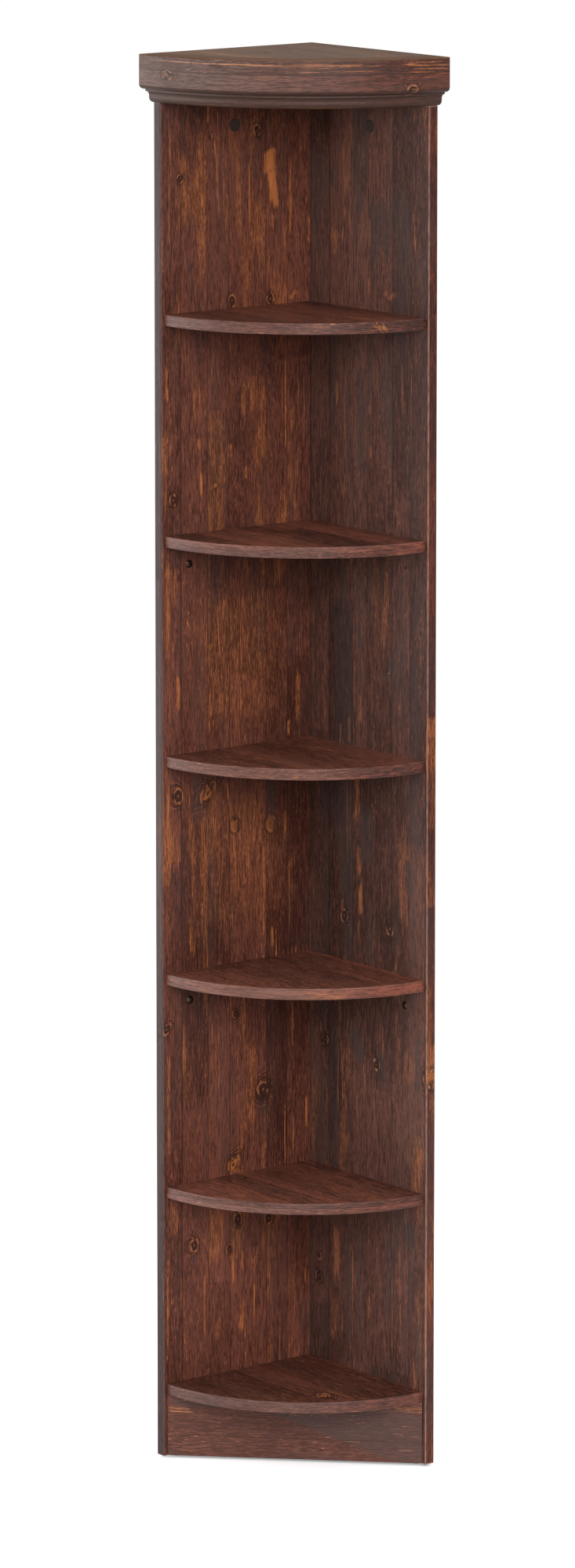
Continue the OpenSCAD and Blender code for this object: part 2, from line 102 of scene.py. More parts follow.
class Wiring:
    """Puts nodes in one tree and links them, so that a pattern reads like a sum."""

    def __init__(self, tree):
        self.tree = tree

    def feed(self, socket, value):
        if isinstance(value, bpy.types.NodeSocket):
            self.tree.links.new(value, socket)
        else:
            socket.default_value = value

    def fill(self, sockets, values):
        for socket, value in zip(sockets, values):
            self.feed(socket, value)

    def node(self, kind, takes=(), **settings):
        made = self.tree.nodes.new(kind)
        for name, value in settings.items():
            setattr(made, name, value)
        for name, value in dict(takes).items():
            self.feed(made.inputs[name], value)
        return made

    def group(self, tree, takes):
        return self.node("ShaderNodeGroup", takes, node_tree=tree).outputs

    def sum(self, operation, *values, clamp=False):
        made = self.node("ShaderNodeMath", operation=operation, use_clamp=clamp)
        self.fill(made.inputs, values)
        return made.outputs[0]

    def chain(self, operation, values):
        """The same sum again and again, from the first value to the last."""
        total = values[0]
        for value in values[1:]:
            total = self.sum(operation, total, value)
        return total

    def times(self, *values):
        return self.chain("MULTIPLY", values)

    def plus(self, *values):
        return self.chain("ADD", values)

    def less(self, *values):
        return self.chain("SUBTRACT", values)

    def over(self, *values):
        return self.chain("DIVIDE", values)

    def most(self, *values):
        return self.chain("MAXIMUM", values)

    def rise(self, value, low, high, to_low=0.0, to_high=1.0):
        """A smooth step from to_low, where value is below low, to to_high, where it is above high."""
        ends = {"Value": value, "From Min": low, "From Max": high, "To Min": to_low, "To Max": to_high}
        return self.node("ShaderNodeMapRange", ends, interpolation_type="SMOOTHSTEP").outputs["Result"]

    def fall(self, value, low, high):
        """The same step downwards, from 1 to 0."""
        return self.rise(value, low, high, to_low=1.0, to_high=0.0)

    def parts(self, vector):
        return self.node("ShaderNodeSeparateXYZ", {"Vector": vector}).outputs

    def flat(self, position):
        """How far a position lies across and along its board."""
        across, through, along = self.parts(position)
        return across, along

    def join(self, x, y, z):
        return self.node("ShaderNodeCombineXYZ", {"X": x, "Y": y, "Z": z}).outputs["Vector"]

    def vector(self, operation, *values, gives="Vector"):
        made = self.node("ShaderNodeVectorMath", operation=operation)
        self.fill(made.inputs, values)
        return made.outputs[gives]

    def here(self):
        """The shaded point's place in its object."""
        return self.node("ShaderNodeTexCoord").outputs["Object"]

    def noise(self, position, stretch, detail=2.0, roughness=0.5):
        """A cloud of values about 0.5, with stretch cells to a metre in each direction."""
        spread = self.vector("MULTIPLY", position, stretch)
        takes = {"Vector": spread, "Scale": 1.0, "Detail": detail, "Roughness": roughness}
        return self.node("ShaderNodeTexNoise", takes).outputs["Fac"]

    def dice(self, x, y, z):
        """Three random values that stay the same for the same whole numbers."""
        return self.node("ShaderNodeTexWhiteNoise", {"Vector": self.join(x, y, z)}).outputs["Color"]

    def lots(self, colour):
        """The three random values that dice throws as one colour, each by itself."""
        return self.node("ShaderNodeSeparateColor", {"Color": colour}).outputs

    def mix(self, share, first, second, blend="MIX", data_type="RGBA"):
        made = self.node("ShaderNodeMix", data_type=data_type, blend_type=blend)
        first_in, second_in, mixed = MIX_SOCKETS[data_type]
        self.fill((made.inputs[0], made.inputs[first_in], made.inputs[second_in]), (share, first, second))
        return made.outputs[mixed]

    def bump(self, shader, height, strength, distance):
        """Lets a height bend the light on a shader's surface."""
        takes = {"Height": height, "Strength": strength, "Distance": distance}
        self.feed(shader.inputs["Normal"], self.node("ShaderNodeBump", takes).outputs["Normal"])

    def done(self):
        """Prints what the tree holds, and returns it."""
        print(self.tree.name, "has", len(self.tree.nodes), "nodes")
        return self.tree


# %% Start a node group with named inputs and outputs
SOCKETS = {
    "value": "Float", "vector": "Vector", "colour": "Color", "shape": "Geometry", "count": "Int",
    "object": "Object", "finish": "Material",
}


def values(*names):
    return dict.fromkeys(names, "value")


def new_group(name, takes, gives, kind="ShaderNodeTree"):
    """Returns the group's wiring, its inputs by name, and its outputs by name."""
    tree = bpy.data.node_groups.new(name, kind)
    for in_out, sockets in (("INPUT", takes), ("OUTPUT", gives)):
        for label, holds in sockets.items():
            tree.interface.new_socket(label, in_out=in_out, socket_type=f"NodeSocket{SOCKETS[holds]}")
    return Wiring(tree), tree.nodes.new("NodeGroupInput").outputs, tree.nodes.new("NodeGroupOutput").inputs


# %% [markdown]
# ## How a pine board is glued up
# A furniture board is no single plank. Sawn staves about four centimetres wide are glued edge to
# edge, and each stave is itself a row of short lengths, joined by interlocking fingers. Every
# length comes from another tree, so its tone changes at once at a joint. The pattern could be
# drawn with one brick texture, but a brick has no fingers and every row has the same width. So
# the board position is divided by hand: whole numbers name a stave and a length, and a random
# triple that hangs on those numbers is handed on to everything that differs from piece to piece.
# In all of these groups the board's own directions are X across, Y through and Z along the grain.

# %% Group: glued staves
BOARD_IN = {"Position": "vector"}
FINGER_W = 3.8 * MM
HAIRLINE = (0.25 * MM, 1.2 * MM)
STAVE_SWAY, JOINT_SHIFT = 0.17, 9.0
w, enter, leave = new_group(
    "glued staves",
    {**BOARD_IN, **values("Stave Width", "Piece Length", "Finger Length", "Seed")},
    {"Piece": "colour", "Seam": "value"},
)
x, z = w.flat(enter["Position"])
column = w.over(x, enter["Stave Width"])
sway = w.sum("SINE", w.plus(w.times(column, 2.4), enter["Seed"]))
column = w.plus(column, w.times(sway, STAVE_SWAY))
stave = w.sum("FLOOR", column)
shift = w.lots(w.dice(stave, enter["Seed"], 3.3))[0]
wave = w.over(w.sum("PINGPONG", x, FINGER_W), FINGER_W)
finger = w.sum("MULTIPLY_ADD", w.less(wave, 0.5), 4.0, 0.5, clamp=True)
run = w.plus(z, w.times(finger, enter["Finger Length"]))
run = w.plus(w.over(run, enter["Piece Length"]), w.times(shift, JOINT_SHIFT))
piece = w.sum("FLOOR", run)
w.feed(leave["Piece"], w.dice(stave, piece, enter["Seed"]))


def hairline(w, count, length):
    """1 within a hair of the whole numbers of count, where length is the distance that 1 stands for."""
    part = w.sum("FRACT", count)
    near = w.times(w.sum("MINIMUM", part, w.less(1.0, part)), length)
    return w.fall(near, *HAIRLINE)


side_seam = hairline(w, column, enter["Stave Width"])
end_seam = w.times(hairline(w, run, enter["Piece Length"]), 0.5)
w.feed(leave["Seam"], w.most(side_seam, end_seam))
glued_staves = w.done()

# %% [markdown]
# ## Growth rings
# A stave is a slice out of a tree, so its lines are the tree's rings cut lengthwise. Rings are
# shells round the pith. When the distance to that pith is worked out for every point, a cut near
# the middle of the tree gives the open, arched figure, and a cut further out gives straight, close
# lines, with no special case for either. Noise that is long in the grain direction makes the lines
# wander. A knot is a branch that the tree grew round: it pushes the rings away, which the Bulge
# input does by adding to the distance.

# %% Group: growth rings
PITH_W, TILT, WANDER = 0.11, 0.10, 0.013
w, enter, leave = new_group(
    "growth rings", {**BOARD_IN, "Piece": "colour", **values("Bulge", "Ring Width")}, values("Ring")
)
x, y, z = w.parts(enter["Position"])
lot_a, lot_b, lot_c = w.lots(enter["Piece"])
moved = w.vector("MULTIPLY_ADD", enter["Piece"], (37.0, 37.0, 37.0), enter["Position"])
wander = w.less(w.noise(moved, (17, 17, 2.1)), 0.5)
from_pith = w.less(w.sum("PINGPONG", w.plus(x, w.times(lot_a, 0.3)), PITH_W), w.times(lot_b, 0.05))
lean = w.times(z, w.less(lot_b, 0.5), TILT)
across = w.plus(from_pith, lean)
deep = w.plus(w.sum("PINGPONG", y, 0.05), w.times(lot_c, 0.05), 0.012)
reach = w.sum("SQRT", w.plus(w.times(across, across), w.times(deep, deep)))
reach = w.plus(reach, w.times(wander, WANDER), enter["Bulge"])
spacing = w.times(enter["Ring Width"], w.plus(w.times(lot_a, 0.9), 0.6))
year = w.sum("FRACT", w.over(reach, spacing))
w.feed(leave["Ring"], w.times(w.rise(year, 0.2, 0.88), w.fall(year, 0.9, 1.0)))
growth_rings = w.done()

# %% [markdown]
# ## Knots
# Two kinds are needed. A few large knots are what one recognises a board by, so they have places
# of their own, measured on the board. The many small ones are strewn by chance: a cell texture
# gives each cell one point, and a dice throw decides whether that point is a knot. Both groups
# hand on the same two things: how far the rings are pushed aside, and the distance to the nearest
# knot, counted in its own radii. The finish draws the rim and the heart of a knot from the latter.

# %% Groups: one knot, and strewn knots
KNOT_PUSH = 2.5
KNOT_REACH = -0.22
KNOT_LENGTH = 1.3
FAR = 9.0
KNOT_CHAIN = values("Bulge", "Distance")


def knot_shape(w, aside, along, radius, lean):
    """How far a knot pushes the rings, and the distance to it in its own radii."""
    aside = w.over(w.less(aside, w.times(along, lean)), radius)
    along = w.over(along, w.times(radius, KNOT_LENGTH))
    square = w.plus(w.times(aside, aside), w.times(along, along))
    push = w.times(w.sum("EXPONENT", w.times(square, KNOT_REACH)), radius, KNOT_PUSH)
    return push, w.sum("SQRT", square)


def knots_so_far(found):
    """What one knot group hands on, as the inputs of the next."""
    return {label: found[label] for label in KNOT_CHAIN}


w, enter, leave = new_group(
    "placed knot", {**BOARD_IN, **values("Across", "Along", "Radius", "Lean"), **KNOT_CHAIN}, KNOT_CHAIN
)
x, z = w.flat(enter["Position"])
aside, along = w.less(x, enter["Across"]), w.less(z, enter["Along"])
push, distance = knot_shape(w, aside, along, enter["Radius"], enter["Lean"])
w.feed(leave["Bulge"], w.plus(push, enter["Bulge"]))
w.feed(leave["Distance"], w.sum("MINIMUM", distance, enter["Distance"]))
placed_knot = w.done()

w, enter, leave = new_group("strewn knots", {**BOARD_IN, **values("Share", "Seed")}, KNOT_CHAIN)
CELL_W, CELL_L = 0.085, 0.21
LEAST_KNOT_R, KNOT_R_SPREAD = 3.5 * MM, 4 * MM
x, z = w.flat(enter["Position"])
flat = w.join(w.over(x, CELL_W), w.plus(w.over(z, CELL_L), enter["Seed"]), 0.0)
cells = w.node("ShaderNodeTexVoronoi", {"Vector": flat, "Scale": 1.0}, voronoi_dimensions="2D").outputs
off_x, off_z = w.parts(w.vector("SUBTRACT", flat, cells["Position"]))[:2]
lots = w.lots(cells["Color"])
there = w.sum("LESS_THAN", lots[0], enter["Share"])
radius = w.plus(w.times(lots[1], KNOT_R_SPREAD), LEAST_KNOT_R)
push, distance = knot_shape(w, w.times(off_x, CELL_W), w.times(off_z, CELL_L), radius, 0.0)
w.feed(leave["Bulge"], w.times(push, there))
w.feed(leave["Distance"], w.plus(distance, w.times(w.less(1.0, there), FAR)))
strewn_knots = w.done()

# %% [markdown]
# ## Places where the stain is thin or thick, and painted shade
# The stain is brushed on and rubbed back. On hard, late wood the cloth takes it off again and the
# amber wood shows; elsewhere it settles and turns cool and dark. Chance gives most of it, below,
# but the boldest streaks of a board are placed. One group makes an upright lens with soft ends,
# and takes the largest of its own mask and what it was handed, so that any number can be chained.
# The same dark streaks also paint the shade and the cast shadow on the crown and the plinth.

# %% Group: one streak
w, enter, leave = new_group(
    "streak",
    {**BOARD_IN, **values("Across", "Along", "Half Width", "Half Length", "Strength", "Lean", "Streaks")},
    values("Streaks"),
)
x, z = w.flat(enter["Position"])
rise_along = w.less(z, enter["Along"])
from_line = w.less(x, enter["Across"], w.times(rise_along, enter["Lean"]))
aside = w.over(w.sum("ABSOLUTE", from_line), enter["Half Width"])
along = w.over(w.sum("ABSOLUTE", rise_along), enter["Half Length"])
lens = w.times(w.fall(aside, 0.3, 1.1), w.fall(along, 0.5, 1.0), enter["Strength"])
w.feed(leave["Streaks"], w.most(lens, enter["Streaks"]))
streak = w.done()

# %% [markdown]
# ## Arrises
# Every edge of a stained board is a little paler, because the sandpaper and later the hands reach
# it first. A mask for that could come from the mesh's curvature, but the result would hang on how
# finely each piece is meshed. The distance to the nearest edge of a plain box is exact instead: of
# a surface point's distances to the three pairs of faces, the middle one is what counts.
# On the panels' front edges this pale band is also a painted highlight, where the rounded arris would catch
# the light.

# %% Group: arris
w, enter, leave = new_group(
    "arris", {**BOARD_IN, "Centre": "vector", "Half Size": "vector", "Width": "value"}, values("Arris")
)
offset = w.vector("ABSOLUTE", w.vector("SUBTRACT", enter["Position"], enter["Centre"]))
a, b, c = w.parts(w.vector("SUBTRACT", enter["Half Size"], offset))
low, high = w.sum("MINIMUM", a, b), w.most(a, b)
middle = w.most(low, w.sum("MINIMUM", high, c))
w.feed(leave["Arris"], w.fall(middle, 0.0, enter["Width"]))
arris = w.done()

# %% [markdown]
# ## Round the curve
# On the crown and on the front of a shelf the lines follow the curve. For those the position is
# turned into the height, the distance out from the curve, and the way along it, and these three
# take the places of across, through and along. The same patterns then bend with the wood.

# %% Group: round the curve
w, enter, leave = new_group(
    "round the curve",
    {**BOARD_IN, "Centre": "vector", "Radius": "value"},
    {"Along Curve": "vector", "Out": "value"},
)
x, y, z = w.parts(w.vector("SUBTRACT", enter["Position"], enter["Centre"]))
out = w.sum("SQRT", w.plus(w.times(x, x), w.times(y, y)))
turn = w.sum("ARCTAN2", w.times(x, -1.0), w.times(y, -1.0))
w.feed(leave["Along Curve"], w.join(z, w.less(out, enter["Radius"]), w.times(turn, enter["Radius"])))
w.feed(leave["Out"], out)
round_curve = w.done()

# %% [markdown]
# ## The stain itself
# This group turns all those masks into a colour, a roughness and a height. It starts from two
# browns that clouds, streaks, fibres and pores mix, then rubs amber in along the late wood, lays
# the cool, dark stain over, and ends with the knots, the glue lines and the arrises. The noises are
# read at a place that each glued piece moves by its own random triple, so no figure crosses a joint.
# On the crown and the plinth the dark placed streaks are painted shade and painted shadow.

# %% Group: stain on pine
BROWN_NAMES = ("Deep", "Warm", "Amber", "Cool", "Pale")
w, enter, leave = new_group(
    "stain on pine",
    {
        **BOARD_IN, "Piece": "colour", **values("Ring", *KNOT_CHAIN, "Seam", "Rubbed", "Settled", "Arris"),
        **dict.fromkeys(BROWN_NAMES, "colour"), **values("Amber Share", "Cool Share"),
    },
    {"Colour": "colour", **values("Roughness", "Height")},
)
own = w.vector("MULTIPLY_ADD", enter["Piece"], (23.0, 19.0, 29.0), enter["Position"])
lot_a, lot_b, lot_c = w.lots(enter["Piece"])
line = w.noise(own, (560, 560, 32), 3.0, 0.7)
fibre = w.noise(own, (900, 900, 110), 2.0, 0.6)
pore = w.noise(own, (700, 700, 42), 1.0)
mottle = w.noise(own, (50, 50, 10), 3.0, 0.55)
zone = w.noise(enter["Position"], (11, 11, 2.6), 2.0)
thread = w.noise(own, (200, 200, 2.4), 1.0)
fleck = w.noise(own, (640, 640, 70), 1.0)
near_knot = w.rise(enter["Bulge"], 1.5 * MM, 9 * MM)


def share(value, weight):
    """How far a noise or a random value lies from its middle, times its weight."""
    return w.times(w.less(value, 0.5), weight)


tone = w.plus(share(lot_a, 0.34), share(mottle, 0.32), share(zone, 0.7), share(line, 1.9))
tone = w.plus(tone, share(fibre, 1.6), 0.5)
wood = w.mix(w.rise(tone, 0.0, 1.0), enter["Deep"], enter["Warm"])
ring_depth = w.times(w.less(1.0, enter["Ring"]), w.plus(w.times(near_knot, 0.5), 0.14))
wood = w.mix(ring_depth, wood, enter["Deep"])
wood = w.mix(w.times(w.rise(pore, 0.46, 0.38), 0.6), wood, enter["Deep"])

patch = w.plus(w.noise(own, (34, 34, 5.5), 2.0), share(zone, 0.5), share(lot_b, 0.14), enter["Amber Share"])
patch = w.times(w.rise(patch, 0.52, 0.72), 0.7)
drawn = w.times(w.rise(w.plus(thread, share(lot_c, 0.1), enter["Amber Share"]), 0.70, 0.76), 0.9)
spots = w.times(w.rise(fleck, 0.65, 0.71), w.rise(mottle, 0.46, 0.62))
rubbed = w.most(patch, drawn, spots, enter["Rubbed"])
grain = w.plus(w.times(line, 0.3), w.times(fibre, 0.4), w.times(pore, 0.3))
late = w.rise(w.plus(grain, w.times(rubbed, 0.25)), 0.64, 0.80)
amber = w.plus(w.times(late, 0.7), w.times(rubbed, rubbed, 0.25))
wood = w.mix(w.times(amber, w.rise(mottle, 0.2, 0.7, 0.6, 1.0)), wood, enter["Amber"])

pool = w.noise(own, (26, 26, 4), 2.0)
# Cool pools of stain, and the dark placed streaks, which on the crown and the plinth are painted shade and
# painted shadow.
cooled_and_shaded = w.times(w.rise(w.plus(pool, share(lot_c, 0.2)), 0.50, 0.66), enter["Cool Share"])
cooled_and_shaded = w.sum("MAXIMUM", cooled_and_shaded, enter["Settled"], clamp=True)
wood = w.mix(w.times(cooled_and_shaded, w.plus(w.times(line, 0.6), 0.4)), wood, enter["Cool"])

distance = enter["Distance"]
heart = w.fall(distance, 0.82, 0.98)
broken = w.rise(w.noise(own, (150, 150, 70), 1.0), 0.42, 0.6)
rim = w.times(w.rise(distance, 0.84, 1.0), w.fall(distance, 1.08, 1.5), broken)
arc_line = w.times(w.rise(enter["Ring"], 0.5, 0.9), w.rise(near_knot, 0.35, 0.8), w.rise(line, 0.4, 0.6))
eye = w.fall(distance, 0.12, 0.32)
heart_ring = w.rise(w.sum("PINGPONG", w.plus(distance, w.times(fibre, 0.15)), 0.16), 0.03, 0.13)
dark = w.mix(1.0, enter["Deep"], (0.5, 0.55, 0.65, 1), "MULTIPLY")
wood = w.mix(w.times(arc_line, 0.3), wood, enter["Amber"])
blot = w.times(near_knot, w.fall(distance, 1.1, 2.4), w.rise(mottle, 0.35, 0.55))
wood = w.mix(w.times(blot, 0.7), wood, dark)
black_heart = w.mix(w.times(w.less(1.0, heart_ring), 0.25), dark, enter["Warm"])
black_heart = w.mix(w.times(eye, 0.35), black_heart, enter["Amber"])
amber_heart = w.mix(w.plus(w.times(heart_ring, 0.5), 0.45), dark, enter["Amber"])
amber_heart = w.mix(w.times(eye, 0.8), amber_heart, dark)
wood = w.mix(heart, wood, w.mix(enter["Rubbed"], black_heart, amber_heart))
wood = w.mix(w.times(rim, 0.75), wood, w.mix(0.3, enter["Amber"], enter["Pale"]))
wood = w.mix(w.times(enter["Seam"], 0.7), wood, enter["Deep"])
# Paler arrises: wear, and on the panels' front edges a painted highlight.
wear_and_highlight = w.times(enter["Arris"], w.rise(fleck, 0.3, 0.62, 0.35, 1.0))
wood = w.mix(w.times(wear_and_highlight, 0.75), wood, enter["Pale"])
w.feed(leave["Colour"], wood)
w.feed(leave["Roughness"], w.plus(w.times(line, 0.16), w.times(heart, 0.1), w.times(amber, -0.05), 0.40))
relief = w.plus(w.times(line, 0.6), w.times(fibre, 0.3), w.times(enter["Ring"], 0.2))
relief = w.plus(relief, w.times(enter["Seam"], -0.5), w.times(rim, -0.7))
w.feed(leave["Height"], relief)
stain_on_pine = w.done()

# %% [markdown]
# ## The pine materials
# All boards share these groups and differ in values: which way the grain lies, how wide the staves
# are, the browns of the stain, and the knots and streaks that are placed one by one. A straight board
# is turned into the board directions by one Mapping node, and a curved one by the group above. A
# shelf takes the straight way on its faces and the curved way on its front, and a face that looks
# another way than the rest can have browns of its own.
# Most of those browns of their own are painted light: painted shade on faces that turn to -Y and under the
# crown's nose, and a painted grey sheen on the back panel's edge and the shelf fronts.

# %% Browns of the stain, and of painted shade and sheen
X, Y, Z = Vector((1, 0, 0)), Vector((0, 1, 0)), Vector((0, 0, 1))
UP, DOWN = Z, -Z


def stain(deep, warm, amber, cool, pale=(0.17, 0.09, 0.068)):
    """The five browns of one stain, in the order of BROWN_NAMES."""
    return [(*brown, 1) for brown in (deep, warm, amber, cool, pale)]


INSIDE = stain((0.028, 0.008, 0.005), (0.160, 0.051, 0.032), (0.36, 0.115, 0.034), (0.042, 0.026, 0.024))
# The shelf fronts' browns, greyer than the tops': partly the edge grain, partly a painted sheen.
FRONT_GRAIN_AND_SHEEN = stain((0.048, 0.019, 0.014), (0.168, 0.070, 0.051), (0.38, 0.14, 0.050), (0.066, 0.042, 0.037),
             pale=(0.25, 0.14, 0.10))
# The plinth's stain. Its Cool brown is also the colour of the painted shadow on the plinth.
PLINTH = stain((0.048, 0.018, 0.013), (0.150, 0.056, 0.038), (0.42, 0.17, 0.07), (0.058, 0.040, 0.038),
               pale=(0.25, 0.14, 0.10))
# Darker, redder browns for the end of a shelf front that faces -Y: painted shade, without the grey sheen.
RIGHT_EDGE_SHADE = stain((0.024, 0.008, 0.005), (0.175, 0.049, 0.029), (0.36, 0.115, 0.036), (0.040, 0.020, 0.017),
                   pale=(0.22, 0.11, 0.075))
# Darker, greyer browns for the back panel's front edge, which faces -X: painted shade with a painted grey
# sheen.
LEFT_EDGE_SHADE_AND_SHEEN = stain((0.018, 0.009, 0.008), (0.061, 0.031, 0.028), (0.126, 0.054, 0.033), (0.037, 0.028, 0.026),
                  pale=(0.091, 0.061, 0.054))
# The side panel's stain. Its bright Pale is wear and a painted highlight on the arrises of its front edge.
SIDE = stain((0.026, 0.011, 0.009), (0.135, 0.058, 0.042), (0.30, 0.105, 0.042), (0.044, 0.034, 0.032),
             pale=(0.29, 0.19, 0.16))
# Darker, redder browns for the side panel's front edge, which faces -Y: painted shade. Its bright Pale is
# wear and a painted highlight on the arrises.
SIDE_EDGE_SHADE_AND_HIGHLIGHT = stain((0.018, 0.005, 0.003), (0.118, 0.031, 0.017), (0.32, 0.095, 0.028), (0.034, 0.019, 0.017),
                  pale=(0.34, 0.185, 0.145))
SHELF = stain((0.024, 0.008, 0.005), (0.200, 0.064, 0.038), (0.36, 0.12, 0.040), (0.050, 0.030, 0.026))
LOW_SHELF = stain((0.020, 0.007, 0.004), (0.165, 0.051, 0.030), (0.31, 0.10, 0.034), (0.042, 0.025, 0.021))
# The crown's stain, with a painted grey sheen in it.
CROWN_STAIN_AND_SHEEN = stain((0.044, 0.023, 0.019), (0.144, 0.083, 0.068), (0.40, 0.18, 0.09), (0.040, 0.017, 0.011),
              pale=(0.24, 0.17, 0.14))
# Darker, redder browns where the crown's face turns to -Y: painted shade, without the painted sheen.
CROWN_RIGHT_SHADE = stain((0.022, 0.008, 0.005), (0.130, 0.042, 0.028), (0.40, 0.135, 0.05), (0.036, 0.020, 0.016),
                    pale=(0.18, 0.09, 0.065))
# Darker browns for the crown's downward faces under the nose: painted shade.
RECESS_SHADE = stain((0.018, 0.007, 0.004), (0.058, 0.020, 0.012), (0.18, 0.065, 0.025), (0.034, 0.016, 0.011))
LID = stain((0.056, 0.025, 0.012), (0.155, 0.069, 0.030), (0.22, 0.11, 0.06), (0.070, 0.045, 0.030))
print("browns of the inner faces:", dict(zip(BROWN_NAMES, INSIDE)))

# %% One finish for every pine board
RELIEF = 0.35 * MM
RING_W = 3.4 * MM
FINGER_L = 16 * MM
FRONT_SKIN = 1.2 * MM
LEVEL_H = 0.1
PANEL_WEAR_AND_HIGHLIGHT = 3 * MM
UNEVEN = 5 * MM
RAGGED_ACROSS, RAGGED_ALONG = 5 * MM, 40 * MM
MATT_TOP = 0.5


def lie(across, through, along):
    """The turn that carries these three directions of the frame onto the board's X, Y and Z."""
    return Matrix((across, through, along)).to_euler()


def new_material(name):
    """Returns an empty material's wiring and its Principled shader."""
    material = bpy.data.materials.new(name)
    material.use_nodes = True
    w = Wiring(material.node_tree)
    shader = next(n for n in material.node_tree.nodes if n.type == "BSDF_PRINCIPLED")
    return material, w, shader


def pine(name, turned=None, curve=None, front_curve=None, box=None, seed=0.0, stave=0.042, length=0.46,
         knots=(), rubbed=(), settled=(), strewn=0.12, browns=INSIDE, amber=0.0, cool=0.35, gloss=0.15,
         faced=()):
    """A pine board. Straight boards give turned, curved ones give curve, and shelves give both ways."""
    material, w, shader = new_material(name)
    place = w.here()
    position = place
    if turned:
        position = w.node("ShaderNodeMapping", {"Vector": place, "Rotation": turned}).outputs["Vector"]
    bend = curve or front_curve
    if bend:
        bent = w.group(round_curve, {"Position": place, "Centre": bend[0], "Radius": bend[1]})
    if curve:
        position = bent["Along Curve"]
    if front_curve:
        # A shelf's front takes greyer browns: partly the edge grain, partly a painted sheen.
        on_front = w.sum("GREATER_THAN", bent["Out"], front_curve[1] - FRONT_SKIN)
        position = w.mix(on_front, position, bent["Along Curve"], data_type="VECTOR")
        browns = [w.mix(on_front, *pair) for pair in zip(browns, FRONT_GRAIN_AND_SHEEN)]
        level = w.sum("ROUND", w.over(w.parts(place)[2], LEVEL_H))
        seed = w.plus(level, seed)
    staves = w.group(glued_staves, {"Position": position, "Stave Width": stave, "Piece Length": length,
                                    "Finger Length": FINGER_L, "Seed": seed})
    found = w.group(strewn_knots, {"Position": position, "Share": strewn, "Seed": seed})
    if knots:
        takes = {"Vector": position, "Scale": 130.0, "Detail": 1.0}
        uneven = w.node("ShaderNodeTexNoise", takes).outputs["Color"]
        bumpy = w.vector("MULTIPLY_ADD", uneven, (UNEVEN, 0, UNEVEN), position)
        bumpy = w.vector("SUBTRACT", bumpy, (UNEVEN / 2, 0, UNEVEN / 2))
    for across, along, radius, *lean in knots:
        found = w.group(placed_knot, {
            "Position": bumpy, "Across": across * MM, "Along": along * MM, "Radius": radius * MM,
            "Lean": lean[0] if lean else 0.0, **knots_so_far(found)})
    rings = w.group(growth_rings, {"Position": position, "Piece": staves["Piece"],
                                   "Bulge": found["Bulge"], "Ring Width": RING_W})
    ragged = w.less(w.noise(position, (90, 90, 11), 2.0), 0.5)
    moved = w.join(w.times(ragged, RAGGED_ACROSS), 0.0, w.times(ragged, RAGGED_ALONG))
    wavy = w.vector("ADD", position, moved)
    masks = {"Rubbed": 0.0, "Settled": 0.0}
    for kind, places in zip(masks, (rubbed, settled)):
        for across, along, half_width, half_length, strength, *lean in places:
            masks[kind] = w.group(streak, {
                "Position": wavy, "Across": across * MM, "Along": along * MM, "Half Width": half_width * MM,
                "Half Length": half_length * MM, "Strength": strength, "Lean": lean[0] if lean else 0.0,
                "Streaks": masks[kind]})["Streaks"]
    # The band along the box's edges: wear, and a painted highlight on the panels' front arrises.
    wear_and_highlight = 0.0
    if box:
        edges = {"Position": position, "Centre": box[0], "Half Size": box[1], "Width": PANEL_WEAR_AND_HIGHLIGHT}
        wear_and_highlight = w.group(arris, edges)["Arris"]
    matt = 0.0
    normal = w.node("ShaderNodeNewGeometry").outputs["Normal"]
    # Faces that look one way get browns of their own. Those handed in for the panel edges, the shelf fronts
    # and the crown's sides and underside are painted shade and painted sheen.
    for way, start, full, other_browns in faced:
        facing = w.vector("DOT_PRODUCT", normal, tuple(way), gives="Value")
        mask = w.rise(facing, start, full)
        browns = [w.mix(mask, *pair) for pair in zip(browns, other_browns)]
        if way == UP:
            matt = w.times(mask, MATT_TOP)
    finish = w.group(stain_on_pine, {
        "Position": position, "Piece": staves["Piece"], "Ring": rings["Ring"], "Seam": staves["Seam"],
        **knots_so_far(found), **masks, "Arris": wear_and_highlight, **dict(zip(BROWN_NAMES, browns)),
        "Amber Share": amber, "Cool Share": cool})
    w.feed(shader.inputs["Base Color"], finish["Colour"])
    w.feed(shader.inputs["Roughness"], w.plus(finish["Roughness"], matt))
    w.bump(shader, finish["Height"], 0.5, RELIEF)
    shader.inputs["Specular IOR Level"].default_value = gloss
    return material


def box_of(low, high):
    """A box as its middle and its half size, as the arris group takes it."""
    return (low + high) / 2, (high - low) / 2
